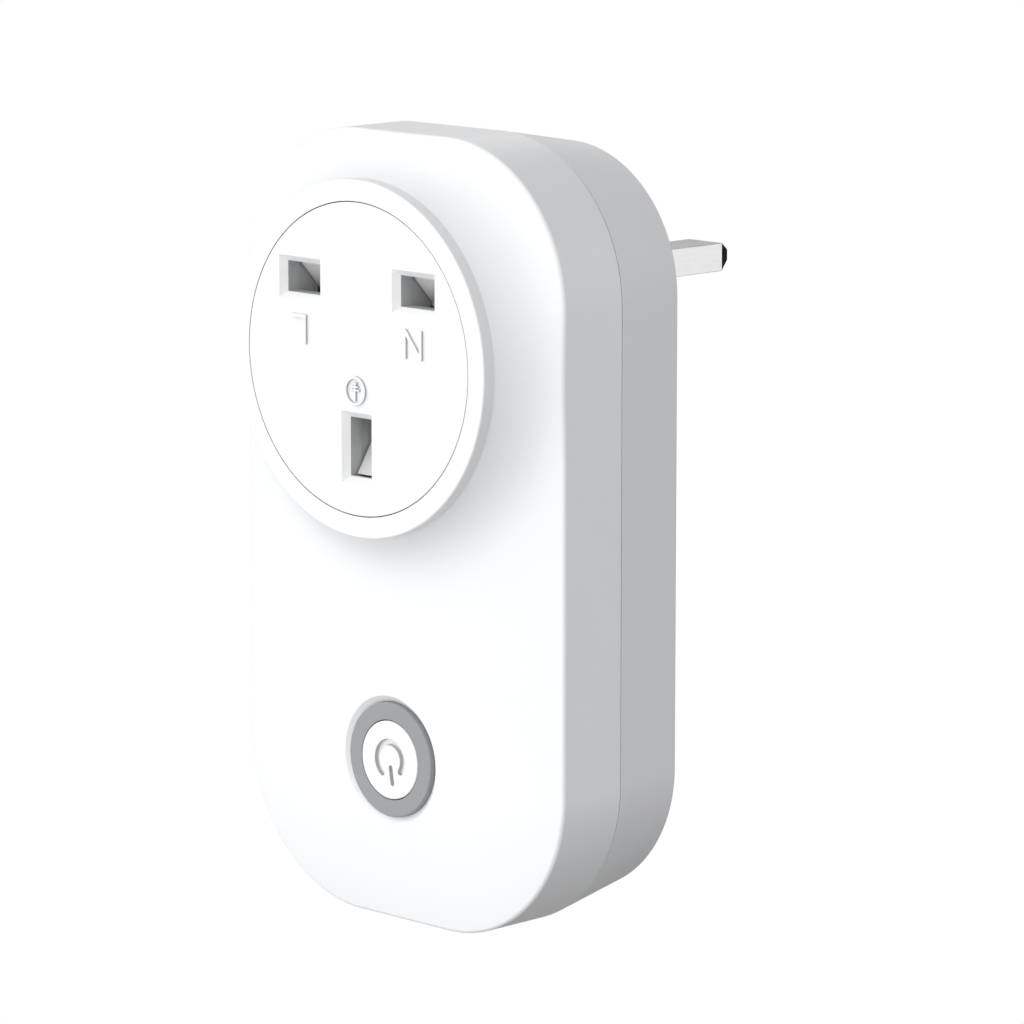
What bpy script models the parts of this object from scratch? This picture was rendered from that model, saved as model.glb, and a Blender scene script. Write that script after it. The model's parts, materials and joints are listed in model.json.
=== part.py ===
"""A pass-through smart plug: a three-pin wall plug behind, a three-hole socket and a round
power button in front, and the power board, relay and radio module between them.

Every size is in millimetres. x runs to the right as the socket is faced, depth runs from the
socket face back to the wall, and z runs up. The origin of the part is on the wall face, straight
behind the middle of the socket.
"""

import math

import bmesh
import bpy
from mathutils import Matrix, Vector
from mathutils.geometry import delaunay_2d_cdt

MM = 0.001
MERGE = 1e-6  # metres

# The body's outline, at its widest, and how deep each of its layers lies.
HALF_WIDTH = 31.05
TOP = 30.27
BOTTOM = -79.56
CORNER = 22.36
CORNER_STEPS = 8
WALL_DEPTH = 38.7  # from the socket face to the wall
EDGE_DEPTH = 8.6  # front edge of the body
CROWN = 2.6  # how far the front bulges forward of that edge
CROWN_POWER = 3.0
EDGE_ROUND = 0.8
PART_DEPTH = 19.5  # where the front and rear covers meet
PART_GAP = 0.3
BACK_DEPTH = 32.9
BACK_TAPER = 2.25  # how far the rear cover draws in
BACK_ROUND = 0.25
WALL = 2.0
LIP = 1.5  # the front cover's lip, inside the rear cover
LIP_START = 1.0
RIM_THICK = 0.65
REAR_WALL = 2.2
BASE_RADIUS = 21.2  # the round raised base that the plug pins stand on
BASE_INNER = 19.0

# The socket's round rim and the insert in it.
DISC_RADIUS = 24.5
DISC_STEP = 2.0  # depth where the rim's side meets the body
DISC_ROUND = 0.45
FLARE = 9.0  # how far beyond the rim the front sweeps up to it
FLARE_POWER = 2.2
INSERT_HOLE = 21.61
INSERT_RADIUS = 21.31
RIM_UNDERSIDE = 2.2
RIM_INNER = 23.5
FLANGE_RADIUS = 23.2
FLANGE_DEPTH = (2.5, 4.0)
FLANGE_INNER = 21.7
PLATE_BACK = 3.0

# The standard pin layout, shared by the slots in front and the pins behind.
PIN_X = 11.115
PIN_Z = 10.07
EARTH_Z = -12.16
PIN_SIZE = (6.35, 3.97)
EARTH_SIZE = (4.05, 7.97)
SLOT = (6.6, 4.25)
EARTH_SLOT = (4.25, 8.15)
SLOT_MOUTH = (8.21, 5.88)
EARTH_MOUTH = (5.9, 9.8)
CHAMFER = 0.95
MARK_HEIGHT = 0.35
PIN_ROOT = 29.2
PIN_FLANGE = 1.4
PIN_STRAIGHT = 57.4
PIN_TIP = 59.8
PIN_TIP_INSET = 1.26
EARTH_STRAIGHT = 59.4
EARTH_TIP = 61.4
EARTH_TIP_INSET = 1.2
EARTH_FLANGE = (6.4, 10.4)
NECK = (4.75, 2.35)
NECK_DEPTH = (32.7, 46.0)
SLEEVE_INNER = (5.35, 2.95)
SLEEVE_DEPTH = (33.0, 45.7)
CLEAR = 0.3  # gap between pieces that rest on each other

# The power button and its ring.
BUTTON_Z = -56.4
RECESS_RADIUS = 9.0
RECESS_HOLE = 8.35
RECESS_DEPTH = 6.9
RING_RADIUS = 8.05
RING_HOLE = 5.78
RING_FRONT = 6.0
BUTTON_RADIUS = 5.49
BUTTON_FRONT = 5.95
BUTTON_END = 10.1
SYMBOL_TURN = math.radians(9)
SIGN_DEPTH = 0.72

# Boards and fixings.
BOARD = (23.0, 24.6)
BUTTON_BOARD = (14.4, 15.4)
UPPER_SCREW = (21.5, 15.5)
LOWER_SCREW = (18.0, -68.5)
BOARD_SCREWS = ((-23.0, -49.3), (23.0, -37.0))
BUTTON_SCREWS = ((-9.5, -47.0), (9.5, -65.8))
BASE_SCREW_X = 10.5
BASE_SCREW_Z = -12.5

WHITE = (0.88, 0.88, 0.88)
FINISHES = {
    "white_plastic": (WHITE, 0.30, 0.0),
    "insert_plastic": (WHITE, 0.35, 0.0),
    "ring_plastic": ((0.38, 0.38, 0.39), 0.30, 0.0),
    "inner_plastic": ((0.58, 0.58, 0.57), 0.50, 0.0),
    "dark_plastic": ((0.05, 0.05, 0.055), 0.45, 0.0),
    "nickel": ((0.75, 0.74, 0.72), 0.22, 1.0),
    "brass": ((0.78, 0.62, 0.32), 0.28, 1.0),
    "copper": ((0.80, 0.45, 0.28), 0.30, 1.0),
    "steel": ((0.60, 0.61, 0.62), 0.32, 1.0),
    "board": ((0.04, 0.20, 0.10), 0.40, 0.0),
    "relay_blue": ((0.05, 0.12, 0.35), 0.40, 0.0),
    "capacitor_yellow": ((0.75, 0.60, 0.12), 0.40, 0.0),
    "ceramic_blue": ((0.06, 0.18, 0.42), 0.35, 0.0),
    "led": ((0.90, 0.88, 0.70), 0.20, 0.0),
}


# ---------------------------------------------------------------- places and materials


def point(x, depth, z):
    """A place in the part's own frame, in metres."""
    return Vector((x * MM, (depth - WALL_DEPTH) * MM, z * MM))


def material(name):
    """The named finish as a Principled BSDF material, made once."""
    found = bpy.data.materials.get(name)
    if found:
        return found
    color, roughness, metallic = FINISHES[name]
    made = bpy.data.materials.new(name)
    made.use_nodes = True
    shader = made.node_tree.nodes["Principled BSDF"]
    shader.inputs["Base Color"].default_value = (*color, 1.0)
    shader.inputs["Roughness"].default_value = roughness
    shader.inputs["Metallic"].default_value = metallic
    return made


# ---------------------------------------------------------------- outlines


def outline(inset):
    """The body's outline drawn in by inset, as (x, z) points that run anticlockwise."""
    radius = CORNER - inset
    centres = (
        (HALF_WIDTH - CORNER, TOP - CORNER),
        (CORNER - HALF_WIDTH, TOP - CORNER),
        (CORNER - HALF_WIDTH, BOTTOM + CORNER),
        (HALF_WIDTH - CORNER, BOTTOM + CORNER),
    )
    points = []
    for turn, (cx, cz) in enumerate(centres):
        for step in range(CORNER_STEPS + 1):
            angle = math.radians(90 * (turn + step / CORNER_STEPS))
            points.append((cx + radius * math.cos(angle), cz + radius * math.sin(angle)))
    return points


def circle(radius, x=0.0, z=0.0, count=48):
    """Points (x, z) round a circle."""
    angles = [math.tau * i / count for i in range(count)]
    return [(x + radius * math.cos(a), z + radius * math.sin(a)) for a in angles]


def rectangle(width, height, x=0.0, z=0.0):
    """The corners (x, z) of a rectangle about its middle."""
    half_w = width / 2
    half_h = height / 2
    signs = ((-1, -1), (1, -1), (1, 1), (-1, 1))
    return [(x + sx * half_w, z + sz * half_h) for sx, sz in signs]


def inset_at(x, z):
    """How far a point lies inside the body's outline."""
    middle = (TOP + BOTTOM) / 2
    qx = abs(x) - (HALF_WIDTH - CORNER)
    qz = abs(z - middle) - ((TOP - BOTTOM) / 2 - CORNER)
    outside = math.hypot(max(qx, 0), max(qz, 0)) + min(max(qx, qz), 0)
    return CORNER - outside


def front_depth(x, z):
    """Depth of the front cover's outer surface: a shallow crown that sweeps up to the rim."""
    inset = min(max(inset_at(x, z), 0), HALF_WIDTH)
    crown = EDGE_DEPTH - CROWN * (1 - (1 - inset / HALF_WIDTH) ** CROWN_POWER)
    beyond = max(math.hypot(x, z) - DISC_RADIUS, 0) / FLARE
    sweep = max(1 - beyond, 0) ** FLARE_POWER
    return crown + (DISC_STEP - crown) * sweep


def inner_front_depth(x, z):
    """Depth of the front cover's inner surface."""
    return front_depth(x, z) + WALL


def level(points, depth):
    """An outline's points at a depth, which is a number or a function of x and z."""
    if callable(depth):
        return [point(x, depth(x, z), z) for x, z in points]
    return [point(x, depth, z) for x, z in points]


def ribbon(path, thickness):
    """The closed outline of a strip of metal bent along a path, with mitred corners."""
    half = thickness / 2
    steps = [Vector(b) - Vector(a) for a, b in zip(path, path[1:])]
    sides = [Vector((-s.y, s.x)).normalized() for s in steps]
    left = []
    right = []
    for i, corner in enumerate(path):
        before = sides[max(i - 1, 0)]
        after = sides[min(i, len(sides) - 1)]
        middle = (before + after).normalized()
        reach = middle * (half / middle.dot(after))
        left.append(Vector(corner) + reach)
        right.append(Vector(corner) - reach)
    return [tuple(p) for p in left + right[::-1]]


# ---------------------------------------------------------------- solids


def face(bm, points):
    """One face with its own vertices; tidy() joins it to its neighbours."""
    return bm.faces.new([bm.verts.new(p) for p in points])


def bridge(bm, first, second):
    """Faces between two closed loops of the same number of points."""
    count = len(first)
    for i in range(count):
        j = (i + 1) % count
        face(bm, (first[i], first[j], second[j], second[i]))


def stack(bm, loops, capped=True):
    """A skin over a stack of loops. Uncapped, the last loop joins the first, as in a tube."""
    for first, second in zip(loops, loops[1:]):
        bridge(bm, first, second)
    if capped:
        face(bm, loops[0])
        face(bm, loops[-1])
    else:
        bridge(bm, loops[-1], loops[0])


def sheet(bm, edge, holes, depth, extra=()):
    """A surface inside an outline, less its round holes, that follows the depth function."""
    points = list(edge)
    edges = [(i, (i + 1) % len(edge)) for i in range(len(edge))]
    for x, z, radius, count in holes:
        start = len(points)
        points += circle(radius, x, z, count)
        edges += [(start + i, start + (i + 1) % count) for i in range(count)]
    points += extra
    made = delaunay_2d_cdt([Vector(p) for p in points], edges, [], 1, 1e-5)
    places = made[0]
    for corners in made[2]:
        cx = sum(places[i].x for i in corners) / len(corners)
        cz = sum(places[i].y for i in corners) / len(corners)
        if all(math.hypot(cx - x, cz - z) > radius for x, z, radius, _ in holes):
            face(bm, level([tuple(places[i]) for i in corners], depth))


def prism(bm, points, axis, low, high):
    """An outline drawn out along one axis: (x, z) for depth, (depth, z) for x, (x, depth) for z."""
    if axis == "depth":
        loops = [[point(a, end, b) for a, b in points] for end in (low, high)]
    elif axis == "x":
        loops = [[point(end, a, b) for a, b in points] for end in (low, high)]
    else:
        loops = [[point(a, b, end) for a, b in points] for end in (low, high)]
    stack(bm, loops)


def box(bm, x, depth, z):
    """A box between (low, high) on each axis."""
    corners = ((x[0], z[0]), (x[1], z[0]), (x[1], z[1]), (x[0], z[1]))
    prism(bm, corners, "depth", *depth)


def turned(bm, profile, x=0.0, z=0.0, count=48, hollow=False):
    """A profile of (radius, depth) turned about a line along depth."""
    loops = [level(circle(radius, x, z, count), depth) for radius, depth in profile]
    stack(bm, loops, capped=not hollow)


def rod(bm, radius, start, end, count=20):
    """A round bar along depth, x or z, between two (x, depth, z) places."""
    a = point(*start)
    b = point(*end)
    turn = Vector((0, 0, 1)).rotation_difference(b - a).to_matrix().to_4x4()
    bmesh.ops.create_cone(
        bm,
        cap_ends=True,
        segments=count,
        radius1=radius * MM,
        radius2=radius * MM,
        depth=(b - a).length,
        matrix=Matrix.Translation((a + b) / 2) @ turn,
    )


def post(bm, x, z, radius, start, end, count=20):
    """A round post whose first end follows a surface."""
    ring = circle(radius, x, z, count)
    stack(bm, [level(ring, start), level(ring, end)])


def block(bm, sections, x=0.0, z=0.0):
    """A stack of rectangles (width, height, depth) about one line along depth."""
    stack(bm, [level(rectangle(w, h, x, z), depth) for w, h, depth in sections])


# ---------------------------------------------------------------- objects


def tidy(bm):
    """Joins faces that meet, and turns them all outwards."""
    bmesh.ops.remove_doubles(bm, verts=bm.verts, dist=MERGE)
    bmesh.ops.recalc_face_normals(bm, faces=bm.faces)


def add(name, bm, finish, pivot=None):
    """A finished solid as an object, with its origin at the pivot if it moves on one."""
    tidy(bm)
    place = point(*pivot) if pivot else Vector((0, 0, 0))
    bmesh.ops.translate(bm, verts=bm.verts, vec=-place)
    mesh = bpy.data.meshes.new(name)
    bm.to_mesh(mesh)
    bm.free()
    mesh.shade_smooth()
    mesh.set_sharp_from_angle(angle=math.radians(30))
    mesh.materials.append(material(finish))
    made = bpy.data.objects.new(name, mesh)
    made.location = place
    bpy.context.scene.collection.objects.link(made)
    return made


def shape(target, operation, bm):
    """Cuts a hidden solid from an object, or joins one to it."""
    tidy(bm)
    name = f"{target.name}.{operation.lower()}.{len(target.modifiers)}"
    mesh = bpy.data.meshes.new(name)
    bm.to_mesh(mesh)
    bm.free()
    tool = bpy.data.objects.new(name, mesh)
    tool.hide_render = True
    tool.display_type = "WIRE"
    bpy.context.scene.collection.objects.link(tool)
    modifier = target.modifiers.new(name, "BOOLEAN")
    modifier.operation = operation
    modifier.object = tool
    modifier.solver = "EXACT"


# ---------------------------------------------------------------- the case


def case_screw_places():
    """The four case screws' (x, z) places."""
    return [(sx * x, z) for x, z in (UPPER_SCREW, LOWER_SCREW) for sx in (-1, 1)]


def surface_points():
    """Inner points of the front, in rings round the rim and in rows on the lower part."""
    points = []
    for radius in (25.6, 27.0, 29.0, 31.4):
        points += circle(radius, count=44)
    for row in range(7):
        z = -37.0 - 6.0 * row
        points += [(x, z) for x in (-24, -18, -12, 12, 18, 24)]
        if row in (0, 5, 6):
            points += [(-4, z), (4, z)]
    return [p for p in points if inset_at(*p) > 3.2]


def front_cover():
    """The front shell: crowned front, raised round rim, button recess, lip and screw posts."""
    bm = bmesh.new()
    loops = [level(outline(0), PART_DEPTH)]
    for degrees in (0, 30, 60, 90):
        angle = math.radians(degrees)
        inset = EDGE_ROUND * (1 - math.cos(angle))
        drop = EDGE_ROUND * (1 - math.sin(angle))
        loops.append(level(outline(inset), lambda x, z, drop=drop: front_depth(x, z) + drop))
    inner = [
        level(outline(0), PART_DEPTH),
        level(outline(LIP_START), PART_DEPTH),
        level(outline(LIP_START), PART_DEPTH + LIP),
        level(outline(WALL), PART_DEPTH + LIP),
        level(outline(WALL), inner_front_depth),
    ]
    for run in (loops, inner):
        for first, second in zip(run, run[1:]):
            bridge(bm, first, second)

    rim = [
        (DISC_RADIUS, DISC_STEP),
        (DISC_RADIUS, DISC_ROUND),
        (DISC_RADIUS - DISC_ROUND * 0.3, DISC_ROUND * 0.3),
        (DISC_RADIUS - DISC_ROUND, 0.0),
        (INSERT_HOLE, 0.0),
        (INSERT_HOLE, RIM_UNDERSIDE),
        (RIM_INNER, RIM_UNDERSIDE),
        (RIM_INNER, DISC_STEP + WALL),
    ]
    rings = [level(circle(radius), depth) for radius, depth in rim]
    for first, second in zip(rings, rings[1:]):
        bridge(bm, first, second)

    recess = [
        level(circle(RECESS_RADIUS, 0, BUTTON_Z, 36), front_depth),
        level(circle(RECESS_HOLE, 0, BUTTON_Z, 36), RECESS_DEPTH),
        level(circle(RECESS_HOLE, 0, BUTTON_Z, 36), inner_front_depth),
    ]
    for first, second in zip(recess, recess[1:]):
        bridge(bm, first, second)

    outer_holes = ((0, 0, DISC_RADIUS, 48), (0, BUTTON_Z, RECESS_RADIUS, 36))
    inner_holes = ((0, 0, RIM_INNER, 48), (0, BUTTON_Z, RECESS_HOLE, 36))
    sheet(bm, outline(EDGE_ROUND), outer_holes, front_depth, surface_points())
    sheet(bm, outline(WALL), inner_holes, inner_front_depth, surface_points())
    cover = add("front_cover", bm, "white_plastic")

    posts = bmesh.new()
    for x, z in case_screw_places():
        post(posts, x, z, 3.2, lambda px, pz: front_depth(px, pz) + 1.0, PART_DEPTH + 0.1)
    for x, z in BUTTON_SCREWS:
        post(posts, x, z, 2.0, lambda px, pz: front_depth(px, pz) + 1.0, BUTTON_BOARD[0] - CLEAR)
    shape(cover, "UNION", posts)
    pilots = bmesh.new()
    for x, z in case_screw_places():
        rod(pilots, 1.6, (x, 12.0, z), (x, 22.0, z), 12)
    for x, z in BUTTON_SCREWS:
        rod(pilots, 1.2, (x, 10.5, z), (x, 16.0, z), 12)
    shape(cover, "DIFFERENCE", pilots)


def taper(depth):
    """How far the rear cover has drawn in at a depth."""
    return BACK_TAPER * (depth - PART_DEPTH) / (BACK_DEPTH - PART_DEPTH)


def rear_cover():
    """The rear shell: tapered sides, flat back, round plug base and screw towers."""
    bm = bmesh.new()
    start = PART_DEPTH + PART_GAP
    step = PART_DEPTH + LIP + PART_GAP
    floor = BACK_DEPTH - WALL
    outer = [
        level(outline(taper(start)), start),
        level(outline(BACK_TAPER), BACK_DEPTH - BACK_ROUND),
        level(outline(BACK_TAPER + BACK_ROUND), BACK_DEPTH),
    ]
    inner = [
        outer[0],
        level(outline(taper(start) + RIM_THICK), start),
        level(outline(taper(start) + RIM_THICK), step),
        level(outline(REAR_WALL), step),
        level(outline(BACK_TAPER + REAR_WALL), floor),
    ]
    base = [
        level(circle(BASE_RADIUS), BACK_DEPTH),
        level(circle(BASE_RADIUS), WALL_DEPTH - 0.5),
        level(circle(BASE_RADIUS - 0.5), WALL_DEPTH),
    ]
    well = [
        level(circle(BASE_INNER), floor),
        level(circle(BASE_INNER), WALL_DEPTH - WALL),
    ]
    for run in (outer, inner, base, well):
        for first, second in zip(run, run[1:]):
            bridge(bm, first, second)
    face(bm, base[-1])
    face(bm, well[-1])
    sheet(bm, outline(BACK_TAPER + BACK_ROUND), ((0, 0, BASE_RADIUS, 48),), lambda x, z: BACK_DEPTH)
    sheet(bm, outline(BACK_TAPER + REAR_WALL), ((0, 0, BASE_INNER, 48),), lambda x, z: floor)
    cover = add("rear_cover", bm, "white_plastic")

    towers = bmesh.new()
    for x, z in case_screw_places():
        rod(towers, 3.4, (x, PART_DEPTH + 0.45, z), (x, floor + 0.6, z))
    for x, z in BOARD_SCREWS:
        rod(towers, 2.4, (x, BOARD[1] + CLEAR, z), (x, floor + 0.6, z), 16)
    shape(cover, "UNION", towers)
    holes = bmesh.new()
    for x, z in case_screw_places():
        turned(
            holes, [(1.75, 18.0), (1.75, floor - 0.1), (3.1, floor - 0.1), (3.1, 34.0)], x, z, 20
        )
    for x, z in BOARD_SCREWS:
        rod(holes, 1.2, (x, 23.0, z), (x, 30.0, z), 12)
    pin_holes(holes, 36.0, 40.0)
    shape(cover, "DIFFERENCE", holes)


def pin_holes(bm, low, high):
    """The three holes that the plug pins pass through, as solids to cut."""
    room = 2 * CLEAR
    for x in (-PIN_X, PIN_X):
        width, height = PIN_SIZE
        prism(bm, rectangle(width + room, height + room, x, PIN_Z), "depth", low, high)
    width, height = EARTH_SIZE
    prism(bm, rectangle(width + room, height + room, 0, EARTH_Z), "depth", low, high)


def pin_carrier():
    """The block in the plug base that holds the three pins square."""
    bm = bmesh.new()
    turned(bm, [(18.0, 31.3), (18.6, 31.9), (18.6, 35.8), (18.0, 36.4)])
    carrier = add("pin_carrier", bm, "inner_plastic")
    holes = bmesh.new()
    pin_holes(holes, 30.0, 37.5)
    shape(carrier, "DIFFERENCE", holes)


def case_screws():
    """Four screws that hold the covers together from behind, in counterbores."""
    head = BACK_DEPTH - WALL + 0.2
    for i, (x, z) in enumerate(case_screw_places()):
        screw(f"case_screw_{i + 1}", x, z, 2.7, head, 1.6, 1.3, 13.0)


def screw(name, x, z, head_radius, head_depth, head_height, radius, tip):
    """A pan-head screw along depth, driven towards the front, with a cross recess."""
    bm = bmesh.new()
    top = head_depth + head_height
    profile = [
        (radius * 0.4, tip),
        (radius, tip + radius),
        (radius, head_depth),
        (head_radius, head_depth),
        (head_radius, top - head_height * 0.45),
        (head_radius * 0.72, top),
    ]
    turned(bm, profile, x, z, 16)
    made = add(name, bm, "steel")
    cross = bmesh.new()
    length = head_radius * 0.6
    width = head_radius * 0.11
    quarter = ((length, -width), (width, -width), (width, -length))
    points = []
    for turn in range(4):
        angle = math.radians(-90 * turn)
        for a, b in quarter:
            px = a * math.cos(angle) - b * math.sin(angle)
            pz = a * math.sin(angle) + b * math.cos(angle)
            points.append((x + px, z + pz))
    prism(cross, points, "depth", top - head_height * 0.6, top + 1.0)
    shape(made, "DIFFERENCE", cross)


# ---------------------------------------------------------------- the socket


def slot_cutter(bm, mouth, slot, x, z):
    """A slot with a wide lead-in chamfer, as a solid to cut."""
    slope = [(m - s) / CHAMFER for m, s in zip(mouth, slot)]
    ahead = 0.5
    sections = (
        (mouth[0] + slope[0] * ahead, mouth[1] + slope[1] * ahead, -ahead),
        (slot[0], slot[1], CHAMFER),
        (slot[0], slot[1], PLATE_BACK + 1.0),
    )
    block(bm, sections, x, z)


def raised_marks(bm):
    """The terminal marks, as seen with the plug this way up: L, N and a ringed earth sign."""
    low = -MARK_HEIGHT
    high = 0.6
    stroke = 0.5
    top = 5.2
    foot = 1.2
    left = -PIN_X - 1.32
    right = -PIN_X + 1.48
    mark_l = (
        (left, top), (right, top), (right, foot), (right - stroke, foot),
        (right - stroke, top - stroke), (left, top - stroke),
    )
    prism(bm, mark_l, "depth", low, high)
    left = PIN_X - 1.65
    right = PIN_X + 1.88
    mark_n = (
        (left, top), (left + stroke, top), (right - stroke, foot + 0.9), (right - stroke, top),
        (right, top), (right, foot), (right - stroke, foot), (left + stroke, top - 0.9),
        (left + stroke, foot), (left, foot),
    )
    prism(bm, mark_n, "depth", low, high)
    middle = -4.25
    turned(bm, [(1.9, low), (1.9, high), (1.55, high), (1.55, low)], 0, middle, 24, hollow=True)
    sign = (
        (-0.15, -1.3), (0.15, -1.3), (0.15, -0.05), (0.85, -0.05), (0.85, 0.2), (0.15, 0.2),
        (0.15, 0.4), (0.6, 0.4), (0.6, 0.65), (0.15, 0.65), (0.15, 0.85), (0.35, 0.85),
        (0.35, 1.1), (-0.35, 1.1), (-0.35, 0.85), (-0.15, 0.85), (-0.15, 0.65), (-0.6, 0.65),
        (-0.6, 0.4), (-0.15, 0.4), (-0.15, 0.2), (-0.85, 0.2), (-0.85, -0.05), (-0.15, -0.05),
    )
    prism(bm, [(x, middle + z) for x, z in sign], "depth", low, high)


def socket_face():
    """The insert with its three slots, the guide ribs for the shutter, and the raised marks."""
    bm = bmesh.new()
    profile = [
        (INSERT_RADIUS - 0.2, 0.0),
        (INSERT_RADIUS, 0.2),
        (INSERT_RADIUS, FLANGE_DEPTH[0]),
        (FLANGE_RADIUS, FLANGE_DEPTH[0]),
        (FLANGE_RADIUS, FLANGE_DEPTH[1]),
        (FLANGE_INNER, FLANGE_DEPTH[1]),
        (FLANGE_INNER, PLATE_BACK),
    ]
    turned(bm, profile)
    insert = add("socket_face", bm, "insert_plastic")

    additions = bmesh.new()
    rib_depth = (PLATE_BACK - 0.4, 6.6)
    for x in (-PIN_X, PIN_X):
        for side in (-1, 1):
            edges = sorted((x + side * 3.4, x + side * 4.2))
            box(additions, edges, rib_depth, (1.8, 13.2))
    for side in (-1, 1):
        box(additions, sorted((side * 2.25, side * 3.0)), rib_depth, (-20.8, -7.6))
        x = side * BASE_SCREW_X
        rod(additions, 2.4, (x, PLATE_BACK - 0.4, BASE_SCREW_Z), (x, 8.4, BASE_SCREW_Z), 16)
    raised_marks(additions)
    shape(insert, "UNION", additions)

    cuts = bmesh.new()
    for x in (-PIN_X, PIN_X):
        slot_cutter(cuts, SLOT_MOUTH, SLOT, x, PIN_Z)
        x_screw = math.copysign(BASE_SCREW_X, x)
        rod(cuts, 1.2, (x_screw, 4.5, BASE_SCREW_Z), (x_screw, 9.5, BASE_SCREW_Z), 12)
    slot_cutter(cuts, EARTH_MOUTH, EARTH_SLOT, 0, EARTH_Z)
    shape(insert, "DIFFERENCE", cuts)
    relief = bmesh.new()
    box(relief, (-2.15, 2.15), (1.6, 3.4), (-21.3, -16.0))
    shape(insert, "DIFFERENCE", relief)


def shutter():
    """The sliding shutter: ramps behind the live and neutral slots that stop anything pushed in
    there, and a ramp behind the earth slot that the earth pin pushes down to open it."""
    bm = bmesh.new()
    plate = (6.9, 8.3)
    outline_points = (
        (-14.2, 7.4), (-5.2, 7.4), (-5.2, -16.1), (5.2, -16.1), (5.2, 7.4), (14.2, 7.4),
        (14.2, 12.7), (-14.2, 12.7),
    )
    prism(bm, outline_points, "depth", *plate)
    made = add("shutter", bm, "inner_plastic", pivot=(0, plate[0], 0))
    window = bmesh.new()
    prism(window, ((-2.5, -11.3), (2.5, -11.3), (2.5, 4.9), (-2.5, 4.9)), "depth", 6.0, 9.0)
    shape(made, "DIFFERENCE", window)
    ramps = bmesh.new()
    tongue = ((3.3, 12.7), (3.3, 11.6), (6.6, 8.0), (6.8, 7.7), (7.6, 7.7), (7.6, 12.7))
    for x in (-PIN_X, PIN_X):
        prism(ramps, tongue, "x", x - 3.1, x + 3.1)
    wedge = ((1.9, -16.05), (7.6, -16.05), (7.6, -11.5), (4.85, -11.5))
    prism(ramps, wedge, "x", -1.85, 1.85)
    box(ramps, (-2.2, 2.2), (3.8, 7.6), (5.1, 6.5))
    shape(made, "UNION", ramps)


def shutter_spring():
    """The spring that lifts the shutter shut again, standing on the socket base's peg."""
    turns = 6
    steps = 10
    radius = 1.5
    wire = 0.24
    low = -5.2
    high = 4.7
    sides = 6
    middle_depth = 5.8
    bm = bmesh.new()
    loops = []
    count = turns * steps
    for i in range(count + 1):
        angle = math.tau * i / steps
        outward = Vector((math.cos(angle), math.sin(angle), 0))
        centre = Vector((0, 0, low + wire + (high - low - 2 * wire) * i / count)) + outward * radius
        loop = []
        for side in range(sides):
            turn = math.tau * side / sides
            offset = outward * (wire * math.cos(turn)) + Vector((0, 0, wire * math.sin(turn)))
            spot = centre + offset
            loop.append(point(spot.x, middle_depth + spot.y, spot.z))
        loops.append(loop)
    stack(bm, loops)
    add("shutter_spring", bm, "steel")


def socket_base():
    """The block behind the shutter that holds the three contacts, with the spring's peg."""
    bm = bmesh.new()
    around = (
        (-16.2, 3.6), (-6.4, 3.6), (-6.4, -19.6), (6.4, -19.6), (6.4, 3.6), (16.2, 3.6),
        (16.2, 16.2), (-16.2, 16.2),
    )
    prism(bm, around, "depth", 8.7, 24.0)
    base = add("socket_base", bm, "inner_plastic")
    additions = bmesh.new()
    box(additions, (-1.6, 1.6), (4.0, 9.2), (-7.5, -5.5))
    for side in (-1, 1):
        box(additions, sorted((side * 6.0, side * 13.2)), (8.7, 9.9), (-15.2, -9.8))
    shape(base, "UNION", additions)
    cuts = bmesh.new()
    for x in (-PIN_X, PIN_X):
        box(cuts, (x - 4.2, x + 4.2), (10.0, 25.0), (PIN_Z - 4.7, PIN_Z + 4.7))
        x_screw = math.copysign(BASE_SCREW_X, x)
        rod(cuts, 1.2, (x_screw, 8.0, BASE_SCREW_Z), (x_screw, 11.0, BASE_SCREW_Z), 12)
    box(cuts, (-5.0, 5.0), (10.0, 25.0), (-18.2, -6.2))
    shape(base, "DIFFERENCE", cuts)
    mouths = bmesh.new()
    for x in (-PIN_X, PIN_X):
        box(mouths, (x - 3.7, x + 3.7), (8.0, 10.5), (PIN_Z - 2.5, PIN_Z + 2.5))
    box(mouths, (-2.6, 2.6), (8.0, 10.5), (-16.7, -8.0))
    shape(base, "DIFFERENCE", mouths)


def contacts():
    """The sprung brass contacts that grip the pins of whatever is plugged in."""
    jaw = ((11.0, 3.0), (14.5, 2.15), (19.4, 2.6), (19.4, -2.6), (14.5, -2.15), (11.0, -3.0))
    for name, x in (("live_contact", -PIN_X), ("neutral_contact", PIN_X)):
        bm = bmesh.new()
        path = [(depth, PIN_Z + z) for depth, z in jaw]
        prism(bm, ribbon(path, 0.7), "x", x - 3.0, x + 3.0)
        add(name, bm, "brass")
    bm = bmesh.new()
    path = ((3.2, 11.0), (2.2, 15.0), (2.7, 23.6), (-2.7, 23.6), (-2.2, 15.0), (-3.2, 11.0))
    prism(bm, ribbon(path, 0.7), "z", EARTH_Z - 3.4, EARTH_Z + 3.4)
    add("earth_contact", bm, "brass")


def base_screws():
    """Two screws that hold the socket base to the back of the insert."""
    for i, side in enumerate((-1, 1)):
        screw(f"base_screw_{i + 1}", side * BASE_SCREW_X, BASE_SCREW_Z, 2.0, 10.2, 1.3, 0.9, 5.2)


# ---------------------------------------------------------------- pins and straps


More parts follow.
